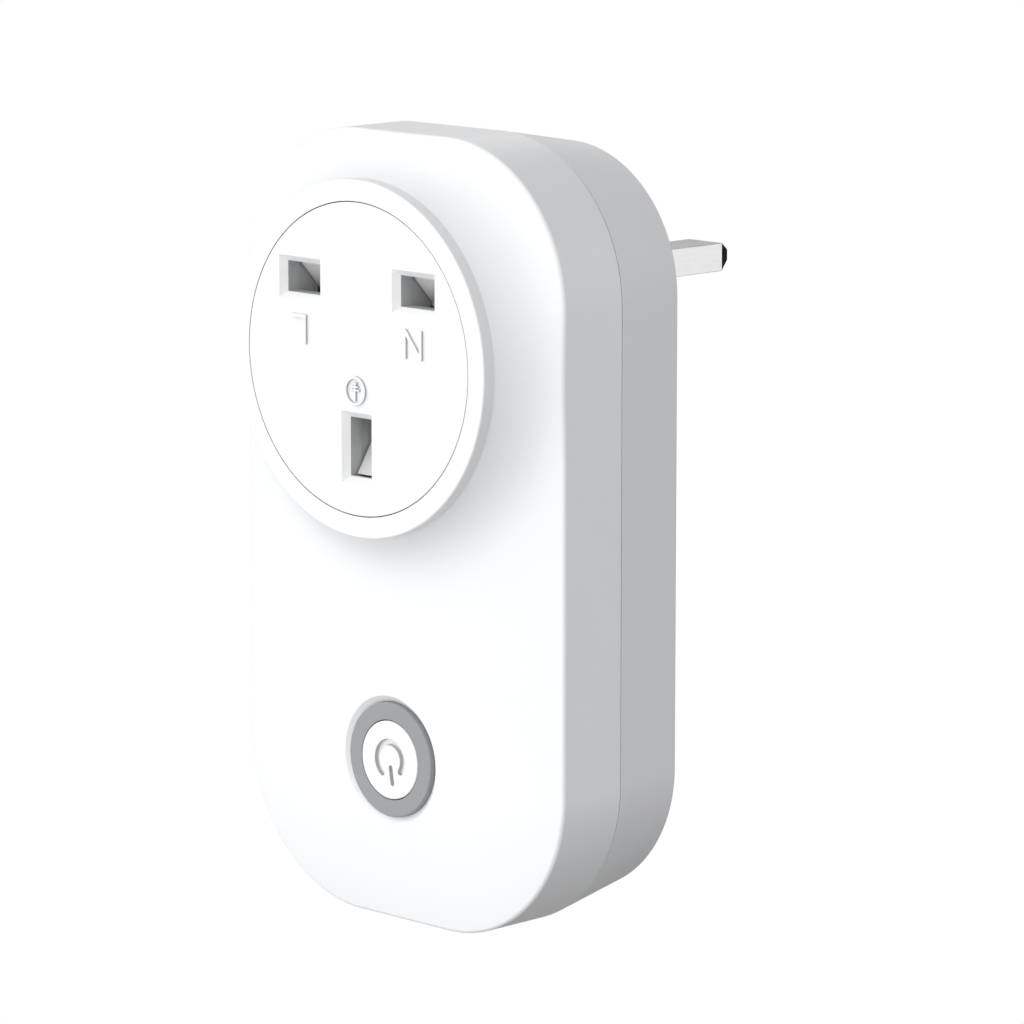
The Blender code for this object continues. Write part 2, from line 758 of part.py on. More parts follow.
def plug_pins():
    """The three pins: flanged at the root, square in section, with blunt tapered tips."""
    width, height = PIN_SIZE
    flange = (8.4, 6.0)
    tip = (width - 2 * PIN_TIP_INSET, height - 2 * PIN_TIP_INSET)
    flange_end = PIN_ROOT + PIN_FLANGE
    for name, x in (("live_pin", -PIN_X), ("neutral_pin", PIN_X)):
        bm = bmesh.new()
        sections = (
            (*flange, PIN_ROOT), (*flange, flange_end), (width, height, flange_end),
            (width, height, NECK_DEPTH[0]), (*NECK, NECK_DEPTH[0]), (*NECK, NECK_DEPTH[1]),
            (width, height, NECK_DEPTH[1]), (width, height, PIN_STRAIGHT),
            (*tip, PIN_TIP),
        )
        block(bm, sections, x, PIN_Z)
        add(name, bm, "nickel")
        bm = bmesh.new()
        loops = [
            level(rectangle(width, height, x, PIN_Z), SLEEVE_DEPTH[0]),
            level(rectangle(width, height, x, PIN_Z), SLEEVE_DEPTH[1]),
            level(rectangle(*SLEEVE_INNER, x, PIN_Z), SLEEVE_DEPTH[1]),
            level(rectangle(*SLEEVE_INNER, x, PIN_Z), SLEEVE_DEPTH[0]),
        ]
        stack(bm, loops, capped=False)
        add(f"{name}_sleeve", bm, "dark_plastic")
    bm = bmesh.new()
    width, height = EARTH_SIZE
    slim = 2 * EARTH_TIP_INSET
    sections = (
        (*EARTH_FLANGE, PIN_ROOT), (*EARTH_FLANGE, flange_end), (width, height, flange_end),
        (width, height, EARTH_STRAIGHT), (width - slim, height - slim, EARTH_TIP),
    )
    block(bm, sections, 0, EARTH_Z)
    add("earth_pin", bm, "nickel")


def straps():
    """The copper straps between the pins, the relay side of the board and the contacts."""
    thickness = 0.7
    behind_contact = 20.45
    on_pin = PIN_ROOT - CLEAR - thickness / 2
    on_board = BOARD[1] + CLEAR + thickness / 2

    def strap(name, path, low, high):
        bm = bmesh.new()
        prism(bm, ribbon(path, thickness), "x", low, high)
        add(name, bm, "copper")

    across = ((behind_contact, 12.6), (behind_contact, 7.2), (on_pin, 7.2), (on_pin, 12.8))
    strap("neutral_strap", across, PIN_X - 2.5, PIN_X + 2.5)
    strap("live_input_strap", ((on_pin, 12.8), (on_pin, -28.0), (25.3, -28.0)), -16.4, -12.4)
    output = (
        (behind_contact, 12.6), (behind_contact, 7.0), (on_board, 7.0), (on_board, -31.5),
    )
    strap("live_output_strap", output, -11.8, -8.2)
    earth = ((24.8, -8.4), (24.8, -16.4), (on_pin, -16.4), (on_pin, -8.4))
    strap("earth_strap", earth, -2.0, 2.0)


# ---------------------------------------------------------------- boards


def main_board():
    """The power board, cut away for the lower screw towers."""
    bm = bmesh.new()
    left = 26.0
    top = -24.0
    foot = -75.5
    corner = 19.0
    points = [(left, top), (-left, top)]
    for cx, start in ((corner - left, 180), (left - corner, 270)):
        for step in range(9):
            angle = math.radians(start + 90 * step / 8)
            x = cx + corner * math.cos(angle)
            points.append((x, foot + corner + corner * math.sin(angle)))
    prism(bm, points, "depth", *BOARD)
    board = add("main_board", bm, "board")
    holes = bmesh.new()
    for side in (-1, 1):
        x, z = LOWER_SCREW
        rod(holes, 3.8, (side * x, 20, z), (side * x, 27, z), 20)
    for x, z in BOARD_SCREWS:
        rod(holes, 1.2, (x, 20, z), (x, 27, z), 12)
    shape(board, "DIFFERENCE", holes)
    for i, (x, z) in enumerate(BOARD_SCREWS):
        board_screw(f"board_screw_{i + 1}", x, z, BOARD[0] - CLEAR)


def board_screw(name, x, z, seat):
    """A small screw along depth, driven towards the back, with a slotted head."""
    bm = bmesh.new()
    profile = [(1.3, seat - 1.2), (1.9, seat - 0.6), (1.9, seat), (0.9, seat), (0.9, seat + 5.6)]
    turned(bm, profile, x, z, 14)
    made = add(name, bm, "steel")
    slot = bmesh.new()
    box(slot, (x - 2.5, x + 2.5), (seat - 2.0, seat - 0.7), (z - 0.2, z + 0.2))
    shape(made, "DIFFERENCE", slot)


def relay():
    """The relay that switches the load: base, case, coil on its core, yoke and armature."""
    low, high = -24.6, 3.6
    seat = BOARD[0] - CLEAR
    z = -31.0
    bm = bmesh.new()
    box(bm, (low, high), (seat - 1.2, seat), (z - 5.0, z + 5.0))
    add("relay_base", bm, "dark_plastic")

    bm = bmesh.new()
    box(bm, (low, high), (10.5, seat - 1.5), (z - 5.0, z + 5.0))
    case = add("relay_case", bm, "relay_blue")
    hollow = bmesh.new()
    box(hollow, (low + 0.8, high - 0.8), (11.3, seat), (z - 4.2, z + 4.2))
    shape(case, "DIFFERENCE", hollow)

    bm = bmesh.new()
    middle = 16.2
    runs = ((-19.6, 3.3), (-18.6, 3.3), (-18.6, 2.7), (-7.6, 2.7), (-7.6, 3.3), (-6.6, 3.3))
    loops = []
    for x, radius in runs:
        angles = [math.tau * i / 20 for i in range(20)]
        ring = [(middle + radius * math.cos(a), z + radius * math.sin(a)) for a in angles]
        loops.append([point(x, depth, pz) for depth, pz in ring])
    stack(bm, loops)
    add("relay_coil", bm, "copper")

    bm = bmesh.new()
    path = ((-21.2, 12.9), (-21.2, 20.3), (-4.4, 20.3))
    prism(bm, ribbon(path, 0.9), "z", z - 3.0, z + 3.0)
    add("relay_yoke", bm, "steel")

    bm = bmesh.new()
    path = ((-5.6, 19.4), (-5.6, 12.4))
    prism(bm, ribbon(path, 0.8), "z", z - 2.6, z + 2.6)
    add("relay_armature", bm, "steel", pivot=(-5.6, 19.4, z))

    bm = bmesh.new()
    path = ((-2.2, 20.6), (-2.2, 12.4))
    prism(bm, ribbon(path, 0.5), "z", z - 2.0, z + 2.0)
    add("relay_contact", bm, "brass")


def can(name, x, z, radius, low, high, finish):
    """A round component standing on the board, with a rolled rim."""
    bm = bmesh.new()
    profile = [
        (radius - 0.5, low), (radius, low + 0.5), (radius, high - 1.8), (radius - 0.35, high - 1.4),
        (radius, high - 1.0), (radius, high),
    ]
    turned(bm, profile, x, z, 24)
    add(name, bm, finish)


def lying_part(name, radius, left, right, z, finish):
    """A round component lying on the board along x, thicker at its ends."""
    bm = bmesh.new()
    depth = BOARD[0] - CLEAR - radius
    runs = (
        (left, radius * 0.6), (left + 0.4, radius), (left + 1.4, radius),
        (left + 1.8, radius * 0.85), (right - 1.8, radius * 0.85),
        (right - 1.4, radius), (right - 0.4, radius), (right, radius * 0.6),
    )
    loops = []
    for x, size in runs:
        angles = [math.tau * i / 16 for i in range(16)]
        loops.append([point(x, depth + size * math.cos(a), z + size * math.sin(a)) for a in angles])
    stack(bm, loops)
    add(name, bm, finish)


def plain_part(name, x, depth, z, finish, bevel=0.4):
    """A moulded component with its front edges drawn in."""
    width = x[1] - x[0]
    height = z[1] - z[0]
    bm = bmesh.new()
    sections = (
        (width - 2 * bevel, height - 2 * bevel, depth[0]), (width, height, depth[0] + bevel),
        (width, height, depth[1]),
    )
    block(bm, sections, sum(x) / 2, sum(z) / 2)
    add(name, bm, finish)


def power_parts():
    """What the board carries besides the relay."""
    seat = BOARD[0] - CLEAR
    plain_part("x_capacitor", (6.4, 19.4), (11.7, seat), (-33.0, -27.0), "capacitor_yellow")
    plain_part("varistor", (6.6, 15.6), (13.4, seat), (-39.2, -35.6), "ceramic_blue", 0.9)
    can("bulk_capacitor_1", -18.5, -43.4, 4.0, 11.2, seat, "dark_plastic")
    can("bulk_capacitor_2", -18.5, -55.2, 4.0, 11.2, seat, "dark_plastic")
    plain_part("bridge_rectifier", (-10.6, -5.8), (20.2, seat), (-65.0, -60.6), "dark_plastic")
    plain_part("power_chip", (6.0, 10.8), (20.6, seat), (-62.2, -58.4), "dark_plastic")
    lying_part("choke", 2.4, -12.0, -2.2, -71.6, "ceramic_blue")
    lying_part("fusible_resistor", 1.9, 2.4, 12.0, -71.6, "inner_plastic")

    bm = bmesh.new()
    box(bm, (-5.6, 5.6), (16.4, seat), (-57.2, -47.6))
    core = add("transformer_core", bm, "dark_plastic")
    gap = bmesh.new()
    box(gap, (-3.9, 3.9), (18.0, 21.2), (-60.0, -45.0))
    shape(core, "DIFFERENCE", gap)
    bm = bmesh.new()
    box(bm, (-3.6, 3.6), (18.3, 20.9), (-58.4, -46.4))
    add("transformer_winding", bm, "capacitor_yellow")


def radio():
    """The radio module, flat on the power board, under its shield."""
    seat = BOARD[0] - CLEAR
    plain_part("radio_board", (13.6, 25.2), (seat - 0.8, seat), (-60.0, -42.0), "board", 0.1)
    plain_part("radio_shield", (14.4, 24.4), (seat - 3.3, seat - 1.1), (-59.2, -47.4), "steel", 0.3)


def button_parts():
    """The button's own board with its switch and lights, and the ring and cap over them."""
    bm = bmesh.new()
    box(bm, (-12, 12), BUTTON_BOARD, (BUTTON_Z - 12, BUTTON_Z + 12))
    board = add("button_board", bm, "board")
    holes = bmesh.new()
    for x, z in BUTTON_SCREWS:
        rod(holes, 1.2, (x, 13, z), (x, 17, z), 12)
    shape(board, "DIFFERENCE", holes)
    for i, (x, z) in enumerate(BUTTON_SCREWS):
        screw(f"button_screw_{i + 1}", x, z, 1.8, BUTTON_BOARD[1] + CLEAR, 1.1, 0.9, 11.2)

    bm = bmesh.new()
    end = BUTTON_BOARD[0] - CLEAR
    switch_front = end - 3.5
    sections = ((5.6, 5.6, switch_front), (6.2, 6.2, switch_front + 0.3), (6.2, 6.2, end))
    block(bm, sections, 0, BUTTON_Z)
    body = add("switch_body", bm, "dark_plastic")
    bore = bmesh.new()
    rod(bore, 2.0, (0, switch_front - 1, BUTTON_Z), (0, switch_front + 1.7, BUTTON_Z))
    shape(body, "DIFFERENCE", bore)
    bm = bmesh.new()
    top = switch_front - 1.6
    profile = [(1.5, top), (1.7, top + 0.2), (1.7, switch_front + 1.0)]
    turned(bm, profile, 0, BUTTON_Z, 20)
    add("switch_plunger", bm, "inner_plastic", pivot=(0, top, BUTTON_Z))

    for name, x in (("light_left", -6.7), ("light_right", 6.7)):
        across = (x - 0.8, x + 0.8)
        plain_part(name, across, (end - 0.7, end), (BUTTON_Z - 0.6, BUTTON_Z + 0.6), "led", 0.1)
    header = (BUTTON_BOARD[1] + CLEAR, BOARD[0] - CLEAR)
    plain_part("board_header", (-5, 5), header, (-67.6, -65.2), "dark_plastic", 0.2)
    light_ring(end - 1.0)
    power_button(top - CLEAR)


def light_ring(leg_end):
    """The clear ring round the button, with a flange behind the cover and two legs to the lights."""
    bm = bmesh.new()
    profile = [
        (RING_HOLE, RING_FRONT), (RING_RADIUS - 0.35, RING_FRONT),
        (RING_RADIUS - 0.1, RING_FRONT + 0.1), (RING_RADIUS, RING_FRONT + 0.35),
        (RING_RADIUS, 8.75), (9.2, 8.75), (9.2, 9.4), (RING_HOLE, 9.4),
    ]
    turned(bm, profile, 0, BUTTON_Z, 36, hollow=True)
    ring = add("light_ring", bm, "ring_plastic")
    legs = bmesh.new()
    for x in (-6.7, 6.7):
        box(legs, (x - 0.85, x + 0.85), (8.9, leg_end), (BUTTON_Z - 0.9, BUTTON_Z + 0.9))
    shape(ring, "UNION", legs)


def power_button(stem_end):
    """The round cap with a sunken power sign, a stem over the switch, and two catches."""
    bm = bmesh.new()
    edge = 0.25
    profile = [
        (BUTTON_RADIUS - edge, BUTTON_FRONT), (BUTTON_RADIUS, BUTTON_FRONT + edge),
        (BUTTON_RADIUS, BUTTON_END), (4.5, BUTTON_END), (4.5, BUTTON_FRONT + 1.5),
    ]
    turned(bm, profile, 0, BUTTON_Z, 36)
    cap = add("power_button", bm, "white_plastic", pivot=(0, BUTTON_FRONT, BUTTON_Z))
    additions = bmesh.new()
    rod(additions, 1.6, (0, BUTTON_FRONT + 1.0, BUTTON_Z), (0, stem_end, BUTTON_Z), 16)
    for side in (-1, 1):
        z = sorted((BUTTON_Z + side * 5.0, BUTTON_Z + side * 7.0))
        box(additions, (-1.5, 1.5), (9.7, BUTTON_END), z)
    shape(cap, "UNION", additions)
    sign = bmesh.new()
    power_sign(sign)
    shape(cap, "DIFFERENCE", sign)


def power_sign(bm):
    """A broken ring and a bar, as solids to sink into the cap, turned with the cap."""
    inner = 2.0
    outer = 3.0
    low = BUTTON_FRONT - 1.0
    high = BUTTON_FRONT + SIGN_DEPTH
    gap = math.radians(46)
    down = -math.pi / 2 + SYMBOL_TURN
    steps = 20
    angles = [down + gap + (math.tau - 2 * gap) * i / steps for i in range(steps + 1)]
    arc = [(outer * math.cos(a), BUTTON_Z + outer * math.sin(a)) for a in angles]
    arc += [(inner * math.cos(a), BUTTON_Z + inner * math.sin(a)) for a in reversed(angles)]
    prism(bm, arc, "depth", low, high)
    along = Vector((math.cos(down), math.sin(down)))
    across = Vector((-along.y, along.x)) * 0.4
    middle = Vector((0, BUTTON_Z))
    ends = [middle + along * 0.7, middle + along * 3.6]
    bar = [ends[0] - across, ends[1] - across, ends[1] + across, ends[0] + across]
    prism(bm, [tuple(p) for p in bar], "depth", low, high)


def clear_scene():
    """Removes whatever the scene holds."""
    for thing in list(bpy.data.objects):
        bpy.data.objects.remove(thing, do_unlink=True)


clear_scene()
front_cover()
rear_cover()
pin_carrier()
case_screws()
socket_face()
shutter()
shutter_spring()
socket_base()
contacts()
base_screws()
plug_pins()
straps()
main_board()
relay()
power_parts()
radio()
button_parts()
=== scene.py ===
"""The looks of a pass-through smart plug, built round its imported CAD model.

Sizes are in millimetres, as in the part's source: x runs to the right as the socket is faced,
depth runs from the socket face back to the wall, and z runs up. point() turns them into the
frame's metres.
"""

import json
import math

import bmesh
import bpy
import numpy as np
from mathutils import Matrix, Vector
from mathutils.geometry import delaunay_2d_cdt


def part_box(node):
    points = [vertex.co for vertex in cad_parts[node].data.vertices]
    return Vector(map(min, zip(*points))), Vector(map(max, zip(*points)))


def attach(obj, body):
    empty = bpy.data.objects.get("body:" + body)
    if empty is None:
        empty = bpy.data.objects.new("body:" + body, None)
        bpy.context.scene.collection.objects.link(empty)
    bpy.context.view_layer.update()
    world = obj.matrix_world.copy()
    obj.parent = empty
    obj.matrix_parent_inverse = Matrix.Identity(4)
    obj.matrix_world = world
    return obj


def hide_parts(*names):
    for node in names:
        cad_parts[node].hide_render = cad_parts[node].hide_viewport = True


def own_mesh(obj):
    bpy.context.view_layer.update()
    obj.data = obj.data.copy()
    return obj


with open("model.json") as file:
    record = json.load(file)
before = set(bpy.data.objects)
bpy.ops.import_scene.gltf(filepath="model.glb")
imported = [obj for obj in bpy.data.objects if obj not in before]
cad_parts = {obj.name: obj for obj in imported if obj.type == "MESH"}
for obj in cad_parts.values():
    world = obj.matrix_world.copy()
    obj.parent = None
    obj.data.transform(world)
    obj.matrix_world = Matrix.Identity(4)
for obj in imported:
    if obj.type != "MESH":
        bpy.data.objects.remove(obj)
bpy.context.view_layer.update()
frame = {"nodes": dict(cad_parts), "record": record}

MM = 0.001
WALL_DEPTH = -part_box("front_cover")[0].y / MM


# ---------------------------------------------------------------- sizes from the frame


def low(node):
    """A CAD node's lowest corner, as (x, depth, z)."""
    x, y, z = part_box(node)[0] / MM
    return x, y + WALL_DEPTH, z


def high(node):
    """A CAD node's highest corner, as (x, depth, z)."""
    x, y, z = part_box(node)[1] / MM
    return x, y + WALL_DEPTH, z


HALF_WIDTH = high("front_cover")[0]
TOP = high("front_cover")[2]
BOTTOM = low("front_cover")[2]
CORNER = 22.36
EDGE_DEPTH = 8.6
CROWN = 2.6
CROWN_POWER = 3.0
EDGE_ROUND = 0.45
LIP = 1.5
LIP_INSET = 1.0
PART_DEPTH = high("front_cover")[1] - LIP
GAP = 0.3  # the CAD's clearance between parts
SEAM = 0.14  # the line that shows between them, finer than the clearance
BACK_DEPTH = 32.9
BACK_TAPER = 2.25
BACK_ROUND = 0.3
WALL = 2.0
REAR_WALL = 1.6
REAR_LIP_ROOM = 0.65  # how far the rear cover's edge steps in behind the seam
BASE_RADIUS = 21.2
BASE_ROUND = 0.5
BASE_INNER = 19.0
SEAM_SOFT = 0.1  # the covers' softened edges along the seam

DISC_RADIUS = 24.5
DISC_STEP = 2.0
DISC_ROUND = 0.28
FLARE = 10.0
FLARE_POWER = 3.2
INSERT_HOLE = 21.53
INSERT_RADIUS = 21.41
RIM_UNDERSIDE = 2.2
RIM_INNER = 23.5
FLANGE_RADIUS = 23.2
FLANGE_FRONT = 2.5
FLANGE_BACK = 4.0
FLANGE_INNER = 21.7
PLATE_BACK = 3.0

PIN_X = (high("neutral_pin")[0] + low("neutral_pin")[0]) / 2
PIN_Z = (high("neutral_pin")[2] + low("neutral_pin")[2]) / 2
EARTH_Z = (high("earth_pin")[2] + low("earth_pin")[2]) / 2
SLOT = (6.6, 4.25)
EARTH_SLOT = (4.25, 8.15)
SLOT_MOUTH = (8.21, 5.88)
EARTH_MOUTH = (5.9, 9.8)
CHAMFER = 0.95
LEDGE = 1.6  # where the earth slot's relief starts, behind its chamfer
EARTH_RELIEF = 5.0
MARK_HEIGHT = -low("socket_face")[1]
EARTH_SIGN_Z = -4.25

BUTTON_Z = (high("light_ring")[2] + low("light_ring")[2]) / 2
RECESS_RADIUS = 9.0
RECESS_HOLE = 8.08
RECESS_DEPTH = 6.9
RING_RADIUS = 8.05
RING_HOLE = 5.62
RING_FRONT = low("light_ring")[1]
BUTTON_RADIUS = 5.49
BUTTON_FRONT = low("power_button")[1]
BUTTON_END = 10.1
SYMBOL_TURN = math.radians(9)
SIGN_DEPTH = 0.72
SIGN_RADIUS = 2.5
SIGN_STROKE = 1.0
SIGN_GAP = math.radians(46)
BAR_START = 1.1
BAR_END = 3.3

PIN_SIZE = (6.35, 3.97)
EARTH_SIZE = (4.05, 7.97)
PIN_HOLE_ROUND = 0.3

CASE_SCREWS = [(sx * x, z) for x, z in ((21.5, 15.5), (18.0, -68.5)) for sx in (-1, 1)]
SINK_RADIUS = 3.1
SINK_BORE = 1.75
TOWER_RADIUS = 3.4
TOWER_END = PART_DEPTH + 0.45
BOARD_SCREWS = ((-23.0, -49.3), (23.0, -37.0))
BUTTON_SCREWS = ((-9.5, -47.0), (9.5, -65.8))


# ---------------------------------------------------------------- outlines


def point(x, depth, z):
    """A place in the frame, in metres."""
    return (x * MM, (depth - WALL_DEPTH) * MM, z * MM)


def outline(inset):
    """The body's outline drawn in by inset, as (x, z) points that run anticlockwise."""
    arc_steps = 40
    end_steps = 12
    side_steps = 44
    radius = CORNER - inset
    across = HALF_WIDTH - CORNER
    upper = TOP - CORNER
    lower = BOTTOM + CORNER
    centres = ((across, upper), (-across, upper), (-across, lower), (across, lower))
    points = []
    for turn, (cx, cz) in enumerate(centres):
        for step in range(arc_steps + 1):
            angle = math.radians(90 * (turn + step / arc_steps))
            points.append((cx + radius * math.cos(angle), cz + radius * math.sin(angle)))
        start = points[-1]
        angle = math.radians(90 * (turn + 1))
        nx, nz = centres[(turn + 1) % 4]
        end = (nx + radius * math.cos(angle), nz + radius * math.sin(angle))
        count = end_steps if turn % 2 == 0 else side_steps
        for step in range(1, count):
            share = step / count
            points.append(tuple(a + (b - a) * share for a, b in zip(start, end)))
    return points


def circle(radius, x=0.0, z=0.0, count=96):
    """Points (x, z) round a circle."""
    angles = [math.tau * i / count for i in range(count)]
    return [(x + radius * math.cos(a), z + radius * math.sin(a)) for a in angles]


def rectangle(width, height, x=0.0, z=0.0):
    """The corners (x, z) of a rectangle about its middle."""
    half_w = width / 2
    half_h = height / 2
    signs = ((-1, -1), (1, -1), (1, 1), (-1, 1))
    return [(x + sx * half_w, z + sz * half_h) for sx, sz in signs]


def rounded(width, height, radius, x=0.0, z=0.0, steps=5):
    """A rectangle with round corners."""
    points = []
    for turn, (sx, sz) in enumerate(((1, 1), (-1, 1), (-1, -1), (1, -1))):
        cx = x + sx * (width / 2 - radius)
        cz = z + sz * (height / 2 - radius)
        for step in range(steps + 1):
            angle = math.radians(90 * (turn + step / steps))
            points.append((cx + radius * math.cos(angle), cz + radius * math.sin(angle)))
    return points


def drawn_in(points, inset):
    """A closed outline moved inwards by inset, with mitred corners; it runs anticlockwise."""
    places = [Vector(p) for p in points]
    moved = []
    for i, place in enumerate(places):
        before = (place - places[i - 1]).normalized()
        after = (places[(i + 1) % len(places)] - place).normalized()
        first = Vector((-before.y, before.x))
        second = Vector((-after.y, after.x))
        middle = (first + second).normalized()
        moved.append(tuple(place + middle * (inset / middle.dot(second))))
    return moved


def inset_at(x, z):
    """How far a point lies inside the body's outline."""
    middle = (TOP + BOTTOM) / 2
    qx = abs(x) - (HALF_WIDTH - CORNER)
    qz = abs(z - middle) - ((TOP - BOTTOM) / 2 - CORNER)
    outside = math.hypot(max(qx, 0), max(qz, 0)) + min(max(qx, qz), 0)
    return CORNER - outside


def front_depth(x, z):
    """Depth of the front cover's outer surface: a shallow crown that sweeps up to the rim."""
    inset = min(max(inset_at(x, z), 0), HALF_WIDTH)
    crown = EDGE_DEPTH - CROWN * (1 - (1 - inset / HALF_WIDTH) ** CROWN_POWER)
    beyond = max(math.hypot(x, z) - DISC_RADIUS, 0) / FLARE
    sweep = max(1 - beyond, 0) ** FLARE_POWER
    return crown + (DISC_STEP - crown) * sweep


def inner_front_depth(x, z):
    """Depth of the front cover's inner surface."""
    return front_depth(x, z) + WALL


def arc(radius, depth, size, start, end, steps=5):
    """(radius, depth) points round a corner of a turned profile, with angles in degrees."""
    points = []
    for step in range(steps + 1):
        angle = math.radians(start + (end - start) * step / steps)
        points.append((radius + size * math.cos(angle), depth + size * math.sin(angle)))
    return points


# ---------------------------------------------------------------- surfaces

SHARP_ANGLE = 30
MERGE_DISTANCE = 2e-7
FILL_MARGIN = 0.6  # clear band along a sheet's edges, as a share of its spacing


class Skin:
    """The surface of one piece while it is put together."""

    def __init__(self):
        self.places = {}
        self.faces = []
        self.looks = []
        self.look = 0  # which of the piece's looks the next faces take

    def face(self, corners):
        """One face. Corners on the same spot are shared."""
        ring = []
        for corner in corners:
            spot = self.places.setdefault(tuple(corner), len(self.places))
            if spot not in ring:
                ring.append(spot)
        if len(ring) > 2:
            self.faces.append(ring)
            self.looks.append(self.look)

    def bridge(self, first, second):
        """Faces between two closed loops of the same number of points."""
        for i, place in enumerate(first):
            j = (i + 1) % len(first)
            self.face((place, first[j], second[j], second[i]))

    def stack(self, loops, capped=True):
        """A skin over a stack of loops. Uncapped, the last loop joins the first, as in a tube."""
        for first, second in zip(loops, loops[1:]):
            self.bridge(first, second)
        if capped:
            self.face(loops[0])
            self.face(loops[-1])
        else:
            self.bridge(loops[-1], loops[0])

    def run(self, loops):
        """A skin over a stack of loops that is left open at both ends."""
        for first, second in zip(loops, loops[1:]):
            self.bridge(first, second)

    def turned(self, profile, x=0.0, z=0.0, count=96, capped=True):
        """A profile of (radius, depth) turned about a line along depth."""
        self.stack([level(circle(radius, x, z, count), depth) for radius, depth in profile], capped)

    def sheet(self, edge, holes, depth, spacing=0):
        """A surface inside an outline, less its holes, at a depth. Spacing puts points inside it."""
        loops = [edge, *holes]
        points = [p for loop in loops for p in loop]
        edges = []
        start = 0
        for loop in loops:
            edges += [(start + i, start + (i + 1) % len(loop)) for i in range(len(loop))]
            start += len(loop)
        points += fill_points(edge, holes, spacing)
        made = delaunay_2d_cdt([Vector(p) for p in points], edges, [], 1, 1e-6)
        source = [origin[0] for origin in made[3]]
        triangles = [[source[i] for i in corners] for corners in made[2]]
        middles = np.array(points)[np.array(triangles)].mean(axis=1)
        kept = inside(middles, edge)
        for hole in holes:
            kept &= ~inside(middles, hole)
        for corners, keep in zip(triangles, kept):
            if keep:
                self.face([level([points[i]], depth)[0] for i in corners])


def level(points, depth):
    """An outline's points at a depth, which is a number or a function of x and z."""
    if callable(depth):
        return [point(x, depth(x, z), z) for x, z in points]
    return [point(x, depth, z) for x, z in points]


def inside(points, polygon):
    """For each point, whether it lies inside a polygon."""
    x = points[:, :1]
    z = points[:, 1:]
    ax, az = np.array(polygon).T
    bx, bz = np.roll(np.array(polygon), -1, axis=0).T
    spans = (az > z) != (bz > z)
    rise = np.where(bz == az, 1.0, bz - az)
    reach = ax + (bx - ax) * (z - az) / rise
    return np.count_nonzero(spans & (x < reach), axis=1) % 2 == 1


def distance(points, polygon):
    """How far each point is from a polygon's edge."""
    start = np.array(polygon)
    along = np.roll(start, -1, axis=0) - start
    offset = points[:, None] - start
    share = np.clip((offset * along).sum(2) / (along**2).sum(1), 0, 1)
    return np.sqrt(((offset - share[..., None] * along) ** 2).sum(2)).min(1)


def fill_points(edge, holes, spacing):
    """Evenly spread points inside an outline and outside its holes."""
    if not spacing:
        return []
    x0, z0 = np.min(edge, axis=0)
    x1, z1 = np.max(edge, axis=0)
    row_gap = spacing * math.sqrt(3) / 2
    rows = []
    for i in range(int((z1 - z0) / row_gap) + 1):
        across = np.arange(x0 + (i % 2) * spacing / 2, x1, spacing)
        rows.append(np.column_stack([across, np.full(len(across), z0 + i * row_gap)]))
    points = np.concatenate(rows)
    points = points[inside(points, edge)]
    points = points[distance(points, edge) > spacing * FILL_MARGIN]
    for hole in holes:
        points = points[~inside(points, hole)]
        points = points[distance(points, hole) > spacing * FILL_MARGIN]
    return [tuple(p) for p in points.tolist()]


def piece(name, skin, *looks, body="root", slot="case_white"):
    """A finished skin as an object that rides on a body and stands for its CAD node."""
    mesh = bpy.data.meshes.new(name)
    mesh.from_pydata(list(skin.places), [], skin.faces)
    mesh.polygons.foreach_set("material_index", skin.looks)
    bm = bmesh.new()
    bm.from_mesh(mesh)
    bmesh.ops.remove_doubles(bm, verts=bm.verts, dist=MERGE_DISTANCE)
    bmesh.ops.recalc_face_normals(bm, faces=bm.faces)
    bm.to_mesh(mesh)
    bm.free()
    mesh.shade_smooth()
    mesh.set_sharp_from_angle(angle=math.radians(SHARP_ANGLE))
    for look in looks:
        mesh.materials.append(look)
    made = bpy.data.objects.new(name, mesh)
    bpy.context.scene.collection.objects.link(made)
    weighted = made.modifiers.new("normals", "WEIGHTED_NORMAL")
    weighted.keep_sharp = True
    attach(made, body)
    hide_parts(name)
    return made


# ---------------------------------------------------------------- materials


def shader_of(name):
    """A new material with its Principled BSDF."""
    made = bpy.data.materials.new(name)
    made.use_nodes = True
    return made, made.node_tree, made.node_tree.nodes["Principled BSDF"]


def noise(tree, scale, detail=3.0, stretch=(1, 1, 1)):
    """Noise in the object's own space; scale is in grains to the millimetre."""
    place = tree.nodes.new("ShaderNodeTexCoord")
    sized = tree.nodes.new("ShaderNodeMapping")
    sized.inputs["Scale"].default_value = [scale / MM * s for s in stretch]
    grain = tree.nodes.new("ShaderNodeTexNoise")
    grain.inputs["Scale"].default_value = 1.0
    grain.inputs["Detail"].default_value = detail
    tree.links.new(place.outputs["Object"], sized.inputs["Vector"])
    tree.links.new(sized.outputs["Vector"], grain.inputs["Vector"])
    return grain.outputs["Fac"]


def ramp(tree, source, stops):
    """A colour ramp over a value; stops are (position, (r, g, b)) or (position, grey)."""
    made = tree.nodes.new("ShaderNodeValToRGB")
    elements = made.color_ramp.elements
    while len(elements) < len(stops):
        elements.new(0.5)
    for element, (position, color) in zip(elements, stops):
        element.position = position
        element.color = (*color, 1.0) if isinstance(color, tuple) else (color, color, color, 1.0)
    tree.links.new(source, made.inputs["Fac"])
    return made.outputs["Color"]


def bump(tree, shader, height, distance_mm, strength=1.0):
    """Puts a height on the shader's normal."""
    made = tree.nodes.new("ShaderNodeBump")
    made.inputs["Distance"].default_value = distance_mm * MM
    made.inputs["Strength"].default_value = strength
    tree.links.new(height, made.inputs["Height"])
    tree.links.new(made.outputs["Normal"], shader.inputs["Normal"])


